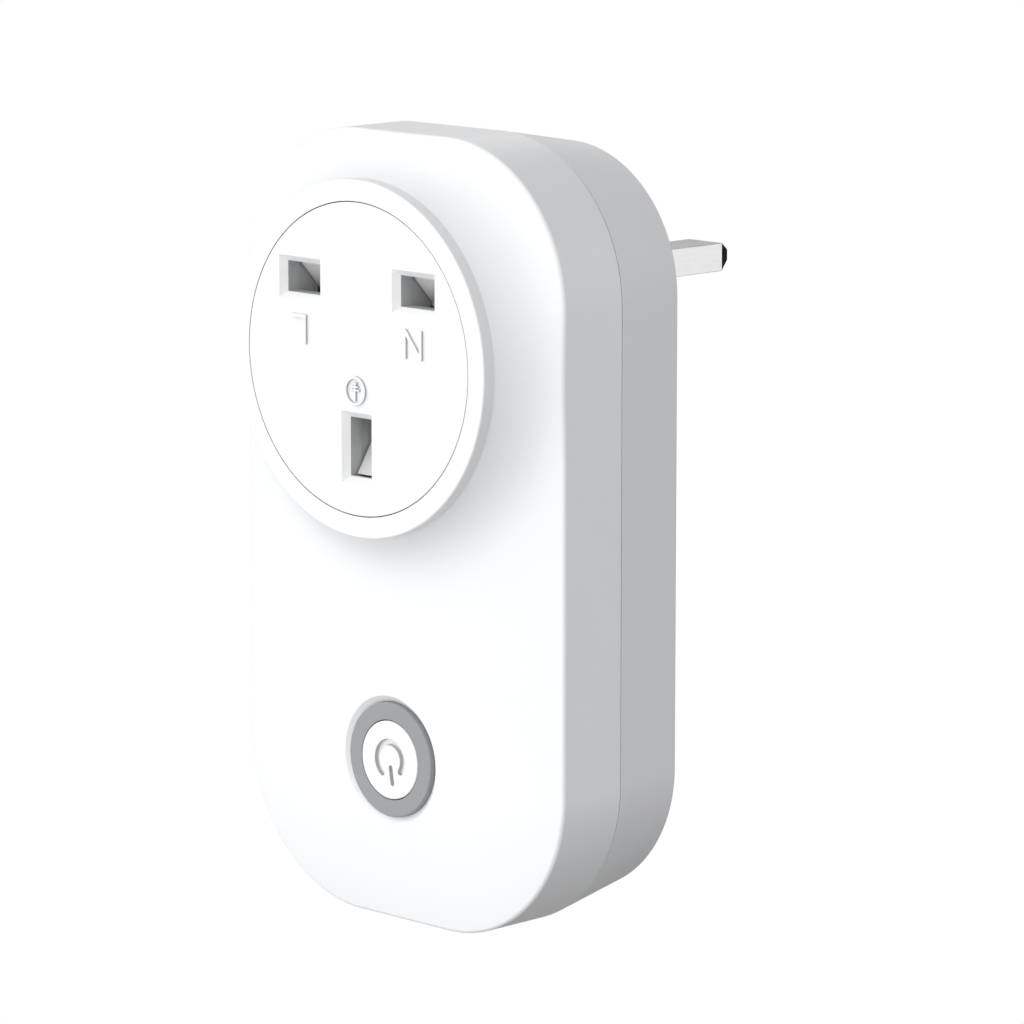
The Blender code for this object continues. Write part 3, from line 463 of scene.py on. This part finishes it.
def moulded(name, color, rough, grain=6.0, depth=0.002, spread=0.03, tint=0.02):
    """Moulded plastic: a fine spark-eroded grain, and slow changes in colour and gloss."""
    made, tree, shader = shader_of(name)
    cloud = noise(tree, 0.05, 2.0)
    darker = tuple(c * (1 - tint) for c in color)
    tree.links.new(ramp(tree, cloud, ((0.3, darker), (0.7, color))), shader.inputs["Base Color"])
    gloss = ramp(tree, noise(tree, 0.6, 4.0), ((0.25, rough - spread), (0.75, rough + spread)))
    tree.links.new(gloss, shader.inputs["Roughness"])
    bump(tree, shader, noise(tree, grain, 4.0), depth)
    shader.inputs["IOR"].default_value = 1.5
    return made


def metal(name, color, rough, stretch=(1, 1, 1), grain=4.0, depth=0.001, tint=0.08):
    """Bare or plated metal, with a drawn grain along one axis and slight staining."""
    made, tree, shader = shader_of(name)
    cloud = noise(tree, 0.25, 3.0)
    darker = tuple(c * (1 - tint) for c in color)
    tree.links.new(ramp(tree, cloud, ((0.35, darker), (0.65, color))), shader.inputs["Base Color"])
    lines = noise(tree, grain, 3.0, stretch)
    tree.links.new(ramp(tree, lines, ((0.3, rough * 0.8), (0.7, rough * 1.25))), shader.inputs["Roughness"])
    bump(tree, shader, lines, depth)
    shader.inputs["Metallic"].default_value = 1.0
    return made


def circuit_board(name, mask, copper):
    """Solder mask over tracks, which show through it as lighter lines."""
    made, tree, shader = shader_of(name)
    tracks = noise(tree, 0.22, 1.0, (1, 1, 3))
    edge = ramp(tree, tracks, ((0.47, mask), (0.50, copper), (0.53, mask)))
    tree.links.new(edge, shader.inputs["Base Color"])
    tree.links.new(ramp(tree, noise(tree, 1.0), ((0.3, 0.28), (0.7, 0.42))), shader.inputs["Roughness"])
    bump(tree, shader, tracks, 0.02, 0.4)
    return made


LOOKS = {
    "case_white": moulded("case_white", (0.85, 0.858, 0.87), 0.36),
    "insert_white": moulded("insert_white", (0.85, 0.858, 0.87), 0.40),
    "ring_grey": moulded("ring_grey", (0.295, 0.30, 0.306), 0.30, tint=0.05),
    # painted shade: this grey is set darker so that the shutter, seen deep in the slots, looks shaded
    "inner_grey": moulded("inner_grey", (0.68, 0.68, 0.68), 0.5),
    "dark_plastic": moulded("dark_plastic", (0.04, 0.04, 0.045), 0.42, depth=0.006, tint=0.3),
    "pin_nickel": metal("pin_nickel", (0.80, 0.80, 0.805), 0.2, (1, 0.05, 1), depth=0.0003, tint=0.03),
    "contact_brass": metal("contact_brass", (0.78, 0.60, 0.30), 0.28, (1, 0.1, 1)),
    "copper": metal("copper", (0.80, 0.44, 0.27), 0.3, (1, 1, 0.1), tint=0.2),
    "steel": metal("steel", (0.60, 0.61, 0.62), 0.3),
    "board_green": circuit_board("board_green", (0.02, 0.13, 0.06), (0.05, 0.22, 0.10)),
    "relay_blue": moulded("relay_blue", (0.04, 0.11, 0.36), 0.38, tint=0.15),
    "capacitor_yellow": moulded("capacitor_yellow", (0.76, 0.58, 0.10), 0.4, tint=0.12),
    "ceramic_blue": moulded("ceramic_blue", (0.05, 0.17, 0.42), 0.32, grain=2.0, depth=0.02, tint=0.2),
    "light_clear": moulded("light_clear", (0.88, 0.86, 0.66), 0.15),
}
PAINTED_SHADE = moulded("painted_shade_grey", (0.47, 0.475, 0.48), 0.5)  # painted shade: a grey for the walls of gaps, slots and signs, darker than the white plastic round them


def dress_cad():
    """Gives each CAD node the look of its slot in the record."""
    for part in frame["record"]["subparts"]:
        node = frame["nodes"][part["node"]]
        node.data.materials.clear()
        node.data.materials.append(LOOKS[part["material_slot"]])


# ---------------------------------------------------------------- the case


def front_cover():
    """The front shell: rounded edge, crowned front, raised rim, button recess, lip and posts."""
    skin = Skin()
    seam = PART_DEPTH + (GAP - SEAM) / 2
    outer = [
        level(outline(SEAM_SOFT), seam),
        level(outline(SEAM_SOFT * 0.3), seam - SEAM_SOFT * 0.3),
        level(outline(0), seam - SEAM_SOFT),
    ]
    steps = 8
    for step in range(steps + 1):
        angle = math.radians(90 * step / steps)
        inset = EDGE_ROUND * (1 - math.cos(angle))
        drop = EDGE_ROUND * (1 - math.sin(angle))
        outer.append(level(outline(inset), lambda x, z, drop=drop: front_depth(x, z) + drop))
    skin.run(outer)
    # painted shade: the faces inside the seam get the darker grey look
    skin.look = 1
    lip = outline(LIP_INSET)
    skin.run([outer[0], level(lip, seam), level(lip, PART_DEPTH + LIP)])
    skin.look = 0
    skin.run([
        level(lip, PART_DEPTH + LIP),
        level(outline(WALL), PART_DEPTH + LIP),
        level(outline(WALL), inner_front_depth),
    ])

    soft = 0.08
    rim = [(DISC_RADIUS, DISC_STEP)]
    rim += arc(DISC_RADIUS - DISC_ROUND, DISC_ROUND, DISC_ROUND, 0, -90)
    rim += arc(INSERT_HOLE + soft, soft, soft, -90, -180, 2)
    rim += [
        (INSERT_HOLE, RIM_UNDERSIDE),
        (RIM_INNER, RIM_UNDERSIDE),
        (RIM_INNER, DISC_STEP + WALL),
    ]
    rings = [level(circle(radius, count=192), depth) for radius, depth in rim]
    inner_ring = circle(RIM_INNER, count=192)
    rings.append(level(inner_ring, inner_front_depth))
    skin.run(rings[:-4])
    # painted shade: the rim's underside and the gap round the insert get the darker grey look
    skin.look = 1
    skin.run(rings[-5:])
    skin.look = 0

    recess = circle(RECESS_RADIUS, 0, BUTTON_Z)
    hole = circle(RECESS_HOLE, 0, BUTTON_Z)
    skin.run([level(recess, front_depth), level(hole, RECESS_DEPTH), level(hole, inner_front_depth)])

    posts = []
    for spot in CASE_SCREWS:
        ends = (inner_front_depth, PART_DEPTH + 0.1)
        posts.append(screw_post(skin, spot, ends, radius=2.9, bore=1.6, bottom=12.0))
    for spot in BUTTON_SCREWS:
        ends = (inner_front_depth, low("button_board")[1] - GAP)
        posts.append(screw_post(skin, spot, ends, radius=2.0, bore=1.2, bottom=10.5))

    rim_edge = circle(DISC_RADIUS, count=192)
    skin.sheet(outline(EDGE_ROUND), [rim_edge, recess], front_depth, spacing=0.9)
    skin.sheet(outline(WALL), [inner_ring, hole, *posts], inner_front_depth, spacing=3.0)
    piece("front_cover", skin, LOOKS["case_white"], PAINTED_SHADE)


def screw_post(skin, spot, ends, radius, bore, bottom):
    """A post that stands on a shell's inner surface, with a blind bore. Returns its foot."""
    start, end = ends
    foot = circle(radius, *spot, 32)
    mouth = circle(bore, *spot, 32)
    skin.run([level(foot, start), level(foot, end), level(mouth, end), level(mouth, bottom)])
    skin.face(level(mouth, bottom))
    return foot


def rear_cover():
    """The rear shell: tapered sides, flat back, round plug base and screw towers."""
    skin = Skin()
    start = PART_DEPTH + (GAP + SEAM) / 2
    step = PART_DEPTH + LIP + GAP
    floor = BACK_DEPTH - WALL

    def drawn(depth):
        return BACK_TAPER * (depth - PART_DEPTH) / (BACK_DEPTH - PART_DEPTH)

    outer = [
        level(outline(drawn(start) + SEAM_SOFT), start),
        level(outline(drawn(start) + SEAM_SOFT * 0.3), start + SEAM_SOFT * 0.3),
        level(outline(drawn(start + SEAM_SOFT)), start + SEAM_SOFT),
    ]
    outer += [
        level(outline(BACK_TAPER + BACK_ROUND * (1 - math.cos(math.radians(a)))),
              BACK_DEPTH - BACK_ROUND * (1 - math.sin(math.radians(a))))
        for a in (0, 22.5, 45, 67.5, 90)
    ]
    skin.run(outer)
    # painted shade: the faces inside the seam get the darker grey look
    skin.look = 1
    lip = outline(drawn(start) + REAR_LIP_ROOM)
    skin.run([outer[0], level(lip, start), level(lip, step)])
    skin.look = 0
    skin.run([
        level(lip, step),
        level(outline(REAR_WALL), step),
        level(outline(BACK_TAPER + REAR_WALL), floor),
    ])
    base = circle(BASE_RADIUS, count=144)
    profile = [(BASE_RADIUS, BACK_DEPTH)]
    profile += arc(BASE_RADIUS - BASE_ROUND, WALL_DEPTH - BASE_ROUND, BASE_ROUND, 0, 90)
    rings = [level(circle(radius, count=144), depth) for radius, depth in profile]
    skin.run(rings)
    well = circle(BASE_INNER, count=144)
    skin.run([level(well, floor), level(well, WALL_DEPTH - WALL)])

    width, height = (size + GAP for size in PIN_SIZE)
    pin_holes = [rounded(width, height, PIN_HOLE_ROUND, x, PIN_Z) for x in (-PIN_X, PIN_X)]
    width, height = (size + GAP for size in EARTH_SIZE)
    pin_holes.append(rounded(width, height, PIN_HOLE_ROUND, 0, EARTH_Z))
    base_face = circle(profile[-1][0], count=144)
    skin.sheet(base_face, pin_holes, WALL_DEPTH)
    skin.sheet(well, pin_holes, WALL_DEPTH - WALL)
    for hole in pin_holes:
        skin.run([level(hole, WALL_DEPTH), level(hole, WALL_DEPTH - WALL)])

    sinks = []
    feet = []
    for spot in CASE_SCREWS:
        sink = circle(SINK_RADIUS, *spot, 40)
        bore = circle(SINK_BORE, *spot, 40)
        foot = circle(TOWER_RADIUS, *spot, 40)
        skin.run([
            level(foot, floor), level(foot, TOWER_END), level(bore, TOWER_END),
            level(bore, floor - 0.1), level(sink, floor - 0.1), level(sink, BACK_DEPTH),
        ])
        sinks.append(sink)
        feet.append(foot)
    for spot in BOARD_SCREWS:
        ends = (floor, high("main_board")[1] + GAP)
        feet.append(screw_post(skin, spot, ends, radius=2.4, bore=1.2, bottom=30.0))
    edge = outline(BACK_TAPER + BACK_ROUND)
    skin.sheet(edge, [base, *sinks], BACK_DEPTH)
    skin.sheet(outline(BACK_TAPER + REAR_WALL), [well, *feet], floor)
    piece("rear_cover", skin, LOOKS["case_white"], PAINTED_SHADE)


def screw_head(name, x, z, radius, seat, height, shank, tip):
    """A pan-head screw along depth with a cross recess, a short thread and a point."""
    skin = Skin()
    top = seat + height
    count = 48
    core = shank * 0.78
    neck = seat - 1.0
    profile = [(shank * 0.15, tip)]
    turns = 9
    length = neck - (tip + shank)
    pitch = length / turns
    for turn in range(turns):
        depth = tip + shank + length * turn / turns
        profile += [(core, depth), (shank, depth + pitch * 0.5)]
    profile += [(core, neck), (shank * 0.8, seat), (radius, seat)]
    shoulder = height * 0.45
    profile += arc(radius - shoulder, top - shoulder, shoulder, 0, 60, 4)
    profile.append((radius * 0.62, top))
    skin.run([level(circle(r, x, z, count), depth) for r, depth in profile])
    skin.face(level(circle(profile[0][0], x, z, count), tip))
    arm = radius * 0.55
    half = radius * 0.11
    quarter = [(arm, -half), (arm, half), (half, half)]
    cross = []
    for turn in range(4):
        angle = math.radians(90 * turn)
        for a, b in quarter:
            cross.append((
                x + a * math.cos(angle) - b * math.sin(angle),
                z + a * math.sin(angle) + b * math.cos(angle),
            ))
    skin.sheet(circle(profile[-1][0], x, z, count), [cross], top)
    sunk = [(x + (px - x) * 0.75, z + (pz - z) * 0.75) for px, pz in cross]
    floor = top - height * 0.6
    skin.run([level(cross, top), level(sunk, floor)])
    skin.sheet(sunk, [], floor)
    piece(name, skin, LOOKS["steel"], slot="steel")


def case_screws():
    """The four screws that hold the covers together, in their counterbores."""
    seat = BACK_DEPTH - WALL + 0.2
    for i, (x, z) in enumerate(CASE_SCREWS):
        name = f"case_screw_{i + 1}"
        screw_head(name, x, z, radius=2.7, seat=seat, height=1.6, shank=1.3, tip=13.0)


# ---------------------------------------------------------------- the socket


def mark_outlines():
    """The L, the N and the earth sign, as seen with the plug this way up; all anticlockwise."""
    stroke = 0.5
    top = 5.2
    foot = 1.2
    left = -PIN_X - 1.32
    right = -PIN_X + 1.48
    mark_l = [
        (left, top), (left, top - stroke), (right - stroke, top - stroke), (right - stroke, foot),
        (right, foot), (right, top),
    ]
    left = PIN_X - 1.65
    right = PIN_X + 1.88
    mark_n = [
        (left, top), (left, foot), (left + stroke, foot), (left + stroke, top - 0.9),
        (right - stroke, foot), (right, foot), (right, top), (right - stroke, top),
        (right - stroke, foot + 0.9), (left + stroke, top),
    ]
    half = [
        (0.15, -1.4), (0.15, 0.0), (0.85, 0.0), (0.85, 0.25), (0.15, 0.25), (0.15, 0.45),
        (0.6, 0.45), (0.6, 0.7), (0.15, 0.7), (0.15, 0.9), (0.35, 0.9), (0.35, 1.15),
    ]
    sign = [(x, EARTH_SIGN_Z + z) for x, z in half + [(-x, z) for x, z in reversed(half)]]
    return [mark_l, mark_n, sign]


def raised(skin, mark):
    """A mark that stands out of the insert's face with softened top edges."""
    soft = 0.05
    # painted shade: the mark's sides get the darker grey look
    skin.look = 1
    skin.run([level(mark, 0.0), level(mark, -MARK_HEIGHT + soft)])
    skin.look = 0
    skin.run([level(mark, -MARK_HEIGHT + soft), level(drawn_in(mark, soft), -MARK_HEIGHT)])
    skin.sheet(drawn_in(mark, soft), [], -MARK_HEIGHT)


def earth_circle(skin):
    """The raised circle round the earth sign. Returns its two feet."""
    outside = 2.0
    inside_radius = 1.65
    soft = 0.05
    top = -MARK_HEIGHT
    profile = [
        (outside, 0.0), (outside, top + soft), (outside - soft, top),
        (inside_radius + soft, top), (inside_radius, top + soft), (inside_radius, 0.0),
    ]
    rings = [level(circle(radius, 0, EARTH_SIGN_Z, 64), depth) for radius, depth in profile]
    skin.run(rings[1:5])
    # painted shade: the circle's sides get the darker grey look
    skin.look = 1
    skin.run(rings[:2])
    skin.run(rings[4:])
    skin.look = 0
    return [circle(radius, 0, EARTH_SIGN_Z, 64) for radius in (outside, inside_radius)]


def slot(skin, mouth, size, x, z, relief=0.0):
    """A slot with its lead-in chamfer; relief lengthens it downwards behind the chamfer."""
    back = rectangle(*size, x, z)
    behind = [(px, pz - relief if pz < z else pz) for px, pz in back]
    lip = 0.06
    wide = [m - 2 * lip * (m - s) / 2 / CHAMFER for m, s in zip(mouth, size)]
    edge = rectangle(mouth[0] + lip, mouth[1] + lip, x, z)
    loops = [
        level(edge, 0.0),
        level(rectangle(*wide, x, z), lip),
        level(back, CHAMFER),
        level(back, LEDGE),
        level(behind, LEDGE),
        level(behind, PLATE_BACK),
    ]
    skin.run(loops[:3])
    # painted shade: the slot's walls behind the chamfer get the darker grey look
    skin.look = 1
    skin.run(loops[2:] if relief else [loops[2], loops[5]])
    skin.look = 0
    return edge, behind


def socket_face():
    """The insert with its slots, raised marks, guide ribs and screw posts."""
    skin = Skin()
    slots = [slot(skin, SLOT_MOUTH, SLOT, x, PIN_Z) for x in (-PIN_X, PIN_X)]
    slots.append(slot(skin, EARTH_MOUTH, EARTH_SLOT, 0, EARTH_Z, EARTH_RELIEF))
    fronts, backs = zip(*slots)

    marks = mark_outlines()
    for mark in marks:
        raised(skin, mark)
    wide, narrow = earth_circle(skin)

    soft = 0.12
    edge = [(INSERT_RADIUS - soft, 0.0)]
    edge += arc(INSERT_RADIUS - soft, soft, soft, -90, 0, 3)[1:]
    edge += [
        (INSERT_RADIUS, FLANGE_FRONT), (FLANGE_RADIUS, FLANGE_FRONT), (FLANGE_RADIUS, FLANGE_BACK),
        (FLANGE_INNER, FLANGE_BACK), (FLANGE_INNER, PLATE_BACK),
    ]
    rings = [level(circle(radius, count=192), depth) for radius, depth in edge]
    skin.run(rings[:4])
    # painted shade: the insert's edge behind its face, its back, ribs and posts get the darker grey look
    skin.look = 1
    skin.run(rings[3:])

    feet = []
    for x in (-PIN_X, PIN_X):
        for side in (-1, 1):
            feet.append(rib(skin, x + side * 3.8, 7.5, width=0.8, height=11.4))
    for side in (-1, 1):
        feet.append(rib(skin, side * 2.625, -14.2, width=0.75, height=13.2))
        spot = (side * 10.5, -12.5)
        feet.append(screw_post(skin, spot, (PLATE_BACK, 8.4), radius=2.4, bore=1.2, bottom=4.5))
    back_edge = circle(FLANGE_INNER, count=192)
    skin.sheet(back_edge, [*backs, *feet], PLATE_BACK)
    skin.look = 0
    face_edge = circle(edge[0][0], count=192)
    skin.sheet(face_edge, [*fronts, *marks, wide], 0.0)
    skin.sheet(narrow, [marks[2]], 0.0)
    piece("socket_face", skin, LOOKS["insert_white"], PAINTED_SHADE, slot="insert_white")


def rib(skin, x, z, width, height):
    """A guide rib behind the insert. Returns its foot."""
    end = 6.6
    foot = rectangle(width, height, x, z)
    skin.run([level(foot, PLATE_BACK), level(foot, end)])
    skin.face(level(foot, end))
    return foot


def shutter_spring():
    """The shutter's return spring, wound close at its ends."""
    bottom = low("shutter_spring")[2]
    top = high("shutter_spring")[2]
    middle = (low("shutter_spring")[1] + high("shutter_spring")[1]) / 2
    wire = 0.24
    radius = 1.5
    turns = 7
    steps = 28
    sides = 10
    reach = top - bottom - 2 * wire
    loops = []
    for i in range(turns * steps + 1):
        share = i / (turns * steps)
        eased = share + math.sin(math.tau * share) * -0.06
        angle = math.tau * i / steps
        outward = Vector((math.cos(angle), math.sin(angle), 0))
        centre = Vector((0, middle, bottom + wire + reach * eased)) + outward * radius
        loop = []
        for side in range(sides):
            turn = math.tau * side / sides
            spot = centre + outward * (wire * math.cos(turn)) + Vector((0, 0, wire * math.sin(turn)))
            loop.append(point(*spot))
        loops.append(loop)
    skin = Skin()
    skin.stack(loops)
    made = piece("shutter_spring", skin, LOOKS["steel"], slot="steel")
    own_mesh(made)


# ---------------------------------------------------------------- the pins

PIN_FLANGE = (8.4, 6.0)
EARTH_FLANGE = (6.4, 10.4)
FLANGE_THICK = 1.4
PIN_NECK = (4.75, 2.35)
NECK_DEPTH = (32.7, 46.0)
SLEEVE_HOLE = (5.35, 2.95)
SLEEVE_DEPTH = (33.0, 45.7)
PIN_END = (  # the blunt tips' sections: width, height and depth
    (*PIN_SIZE, 57.32), (6.27, 3.89, 57.42), (3.95, 1.57, 59.74), (3.83, 1.45, 59.8),
)
EARTH_END = (
    (*EARTH_SIZE, 59.4), (3.8, 7.72, 59.52), (1.8, 5.7, 61.3), (1.65, 5.57, 61.4),
)


def blade(name, sections, corner, x, z):
    """A pin through its sections of (width, height, depth)."""
    skin = Skin()
    skin.stack([level(rounded(w, h, corner, x, z), depth) for w, h, depth in sections])
    piece(name, skin, LOOKS["pin_nickel"], slot="pin_nickel")


def sleeve(name, x):
    """The insulating sleeve in a pin's neck."""
    outside = rounded(*PIN_SIZE, 0.18, x, PIN_Z)
    within = rounded(*SLEEVE_HOLE, 0.18, x, PIN_Z)
    loops = [level(outside, depth) for depth in SLEEVE_DEPTH]
    loops += [level(within, depth) for depth in reversed(SLEEVE_DEPTH)]
    skin = Skin()
    skin.stack(loops, capped=False)
    piece(name, skin, LOOKS["dark_plastic"], slot="dark_plastic")


def pins():
    """Three nickel-plated pins with softened edges and blunt tips, and two sleeves."""
    root = low("live_pin")[1]
    flange = root + FLANGE_THICK
    sections = [
        (*PIN_FLANGE, root), (*PIN_FLANGE, flange), (*PIN_SIZE, flange), (*PIN_SIZE, NECK_DEPTH[0]),
        (*PIN_NECK, NECK_DEPTH[0]), (*PIN_NECK, NECK_DEPTH[1]), (*PIN_SIZE, NECK_DEPTH[1]), *PIN_END,
    ]
    for name, x in (("live_pin", -PIN_X), ("neutral_pin", PIN_X)):
        blade(name, sections, 0.07, x, PIN_Z)
        sleeve(f"{name}_sleeve", x)
    sections = [
        (*EARTH_FLANGE, root), (*EARTH_FLANGE, flange), (*EARTH_SIZE, flange), *EARTH_END,
    ]
    blade("earth_pin", sections, 0.18, 0, EARTH_Z)


# ---------------------------------------------------------------- the button


def light_ring():
    """The grey ring round the button, with its flange behind the cover."""
    skin = Skin()
    inner_soft = 0.06
    soft = 0.25
    flange = 9.2
    flange_front = 8.75
    back = 9.4
    profile = arc(RING_HOLE + inner_soft, RING_FRONT + inner_soft, inner_soft, 180, 270, 2)
    profile += arc(RING_RADIUS - soft, RING_FRONT + soft, soft, 270, 360)
    profile += [(RING_RADIUS, flange_front), (flange, flange_front), (flange, back), (RING_HOLE, back)]
    skin.turned(profile, 0, BUTTON_Z, 128, capped=False)
    piece("light_ring", skin, LOOKS["ring_grey"], slot="ring_grey")


def power_sign():
    """The power sign's two strokes, a broken ring and a bar, as outlines that run anticlockwise."""
    down = -math.pi / 2 + SYMBOL_TURN
    half = SIGN_STROKE / 2
    start = down + SIGN_GAP
    sweep = math.tau - 2 * SIGN_GAP

    def around(radius, angle, size, first, last, steps):
        cx = radius * math.cos(angle)
        cz = BUTTON_Z + radius * math.sin(angle)
        turns = [first + (last - first) * i / steps for i in range(steps + 1)]
        return [(cx + size * math.cos(t), cz + size * math.sin(t)) for t in turns]

    ring = around(0, 0, SIGN_RADIUS + half, start, start + sweep, 60)
    ring += around(SIGN_RADIUS, start + sweep, half, start + sweep, start + sweep + math.pi, 8)[1:]
    ring += around(0, 0, SIGN_RADIUS - half, start + sweep, start, 60)[1:]
    ring += around(SIGN_RADIUS, start, half, start + math.pi, start + math.tau, 8)[1:-1]
    bar_half = half * 0.8
    bar = around(BAR_START, down, bar_half, down + math.pi / 2, down + math.pi * 3 / 2, 10)
    bar += around(BAR_END, down, bar_half, down - math.pi / 2, down + math.pi / 2, 10)
    return ring, bar


def power_button():
    """The round cap with its sunken power sign and its stem over the switch."""
    skin = Skin()
    soft = 0.14
    inner = 4.5
    crown = BUTTON_FRONT + 1.5
    stem = 1.6
    profile = arc(BUTTON_RADIUS - soft, BUTTON_FRONT + soft, soft, -90, 0, 4)
    profile += [(BUTTON_RADIUS, BUTTON_END), (inner, BUTTON_END), (inner, crown)]
    profile += [(stem, crown), (stem, low("switch_plunger")[1] - GAP)]
    rings = [level(circle(radius, 0, BUTTON_Z), depth) for radius, depth in profile]
    skin.run(rings)
    skin.face(rings[-1])
    strokes = power_sign()
    skin.sheet(circle(profile[0][0], 0, BUTTON_Z), strokes, BUTTON_FRONT)
    floor = 0.27
    steps = ((0.0, 0.0), (0.04, 0.04), (0.07, 0.45), (0.15, 0.60), (floor, SIGN_DEPTH))
    for stroke in strokes:
        walls = [level(drawn_in(stroke, inset), BUTTON_FRONT + sink) for inset, sink in steps]
        skin.run(walls[:2])
        # painted shade: the middle of the sign's groove walls gets the darker grey look
        skin.look = 1
        skin.run(walls[1:4])
        skin.look = 0
        skin.run(walls[3:])
        skin.sheet(drawn_in(stroke, floor), [], BUTTON_FRONT + SIGN_DEPTH)
    piece("power_button", skin, LOOKS["case_white"], PAINTED_SHADE, body="button")


# ---------------------------------------------------------------- the studio

LENS_MM = 187.66
SENSOR_MM = 36
CAMERA_PLACE = (0.51897, -0.53015, 0.10635)
CAMERA_TILT = 79.90
CAMERA_TURN = 44.87
FLOOR_SIZE = 4.0
CARD = (-0.30, 0.95, -0.16)
CARD_SIZE = 0.6
LOBES = (  # the dome's glow: which way, and how strong
    ((0, -1, 0), 1.04), ((0, -0.71, 0.71), 0.32), ((-1, 0, 0), 0.50), ((0, 1, 0), 0.10),
    ((0, 0, 1), 0.14),
)
LAMPS = (  # name, which way from the plug, size in metres, watts
    ("front", (0, -1, 0), 0.7, 1.35),
    ("left_up", (-0.6, -0.3, 0.75), 0.7, 1.45),
    ("left_back", (-0.7, 0.5, 0.6), 0.7, 0.9),
    ("camera_up", (0.5, -0.5, 0.7), 0.7, 0.25),
    ("right_back", (0.8, 0.55, 0.05), 1.06, 3.4),
    ("right_front", (0.6, -0.6, 0.2), 0.7, 0.7),
)
BACK_LAMP = (-0.15, 1, 0.15)


def camera():
    """A long lens to the right of the socket and a little above it."""
    made = bpy.data.objects.new("camera", bpy.data.cameras.new("camera"))
    made.data.lens = LENS_MM
    made.data.sensor_width = SENSOR_MM
    made.location = CAMERA_PLACE
    made.rotation_euler = (math.radians(CAMERA_TILT), 0, math.radians(CAMERA_TURN))
    bpy.context.scene.collection.objects.link(made)
    bpy.context.scene.camera = made


def area_light(name, place, aim, size, power):
    """A square soft light."""
    lamp = bpy.data.lights.new(name, "AREA")
    lamp.shape = "SQUARE"
    lamp.size = size
    lamp.energy = power
    made = bpy.data.objects.new(name, lamp)
    made.location = place
    made.rotation_euler = (Vector(aim) - Vector(place)).to_track_quat("-Z", "Y").to_euler()
    bpy.context.scene.collection.objects.link(made)
    return made


def surround(lobes):
    """A soft dome that is brighter on some sides, and a white ground behind the plug."""
    world = bpy.data.worlds.new("studio")
    bpy.context.scene.world = world
    world.use_nodes = True
    tree = world.node_tree
    background = tree.nodes["Background"]
    background.inputs["Color"].default_value = (1, 1, 1, 1)
    backdrop = tree.nodes.new("ShaderNodeBackground")
    backdrop.inputs["Color"].default_value = (1, 1, 1, 1)
    direction = tree.nodes.new("ShaderNodeTexCoord").outputs["Generated"]
    total = None
    for axis, strength in lobes:
        facing = tree.nodes.new("ShaderNodeVectorMath")
        facing.operation = "DOT_PRODUCT"
        facing.inputs[1].default_value = axis
        tree.links.new(direction, facing.inputs[0])
        lobe = tree.nodes.new("ShaderNodeMath")
        lobe.operation = "MAXIMUM"
        lobe.inputs[1].default_value = 0
        tree.links.new(facing.outputs["Value"], lobe.inputs[0])
        added = tree.nodes.new("ShaderNodeMath")
        added.operation = "MULTIPLY_ADD"
        added.inputs[1].default_value = strength
        added.inputs[2].default_value = 0
        tree.links.new(lobe.outputs["Value"], added.inputs[0])
        if total:
            tree.links.new(total, added.inputs[2])
        total = added.outputs["Value"]
    tree.links.new(total, background.inputs["Strength"])
    path = tree.nodes.new("ShaderNodeLightPath")
    mix = tree.nodes.new("ShaderNodeMixShader")
    tree.links.new(path.outputs["Is Camera Ray"], mix.inputs["Fac"])
    tree.links.new(background.outputs["Background"], mix.inputs[1])
    tree.links.new(backdrop.outputs["Background"], mix.inputs[2])
    tree.links.new(mix.outputs["Shader"], tree.nodes["World Output"].inputs["Surface"])


def stage_panel(name, size, glow):
    """A square of the studio that gives off an even glow and casts no shadow."""
    half = size / 2
    mesh = bpy.data.meshes.new(name)
    corners = [(-half, -half, 0), (half, -half, 0), (half, half, 0), (-half, half, 0)]
    mesh.from_pydata(corners, [], [(0, 1, 2, 3)])
    made, tree, _ = shader_of(name)
    light = tree.nodes.new("ShaderNodeEmission")
    light.inputs["Color"].default_value = (glow, glow, glow, 1)
    tree.links.new(light.outputs["Emission"], tree.nodes["Material Output"].inputs["Surface"])
    mesh.materials.append(made)
    panel = bpy.data.objects.new(name, mesh)
    bpy.context.scene.collection.objects.link(panel)
    panel.visible_diffuse = False
    panel.visible_shadow = False
    return panel


def studio():
    """The white floor, a black card that the pins mirror, the lights and the view's tone."""
    floor = stage_panel("floor", FLOOR_SIZE, 1.0)
    floor.location = (0, 0, BOTTOM * MM)
    floor.visible_glossy = False
    card = stage_panel("black_card", CARD_SIZE, 0.0)
    card.location = CARD
    card.rotation_euler = Vector(CARD).to_track_quat("Z", "Y").to_euler()
    card.visible_camera = False
    card.visible_transmission = False

    surround(LOBES)
    middle = Vector((0, 0, (TOP + BOTTOM) / 2 * MM))
    for name, way, size, power in LAMPS:
        area_light(name, middle + Vector(way).normalized(), middle, size, power)
    back = area_light("back", middle + Vector(BACK_LAMP), middle, 0.7, 1.5)
    back.visible_glossy = False  # the pins mirror the card there
    bpy.context.scene.view_settings.view_transform = "Standard"


camera()
dress_cad()
front_cover()
rear_cover()
case_screws()
socket_face()
shutter_spring()
pins()
light_ring()
power_button()
studio()
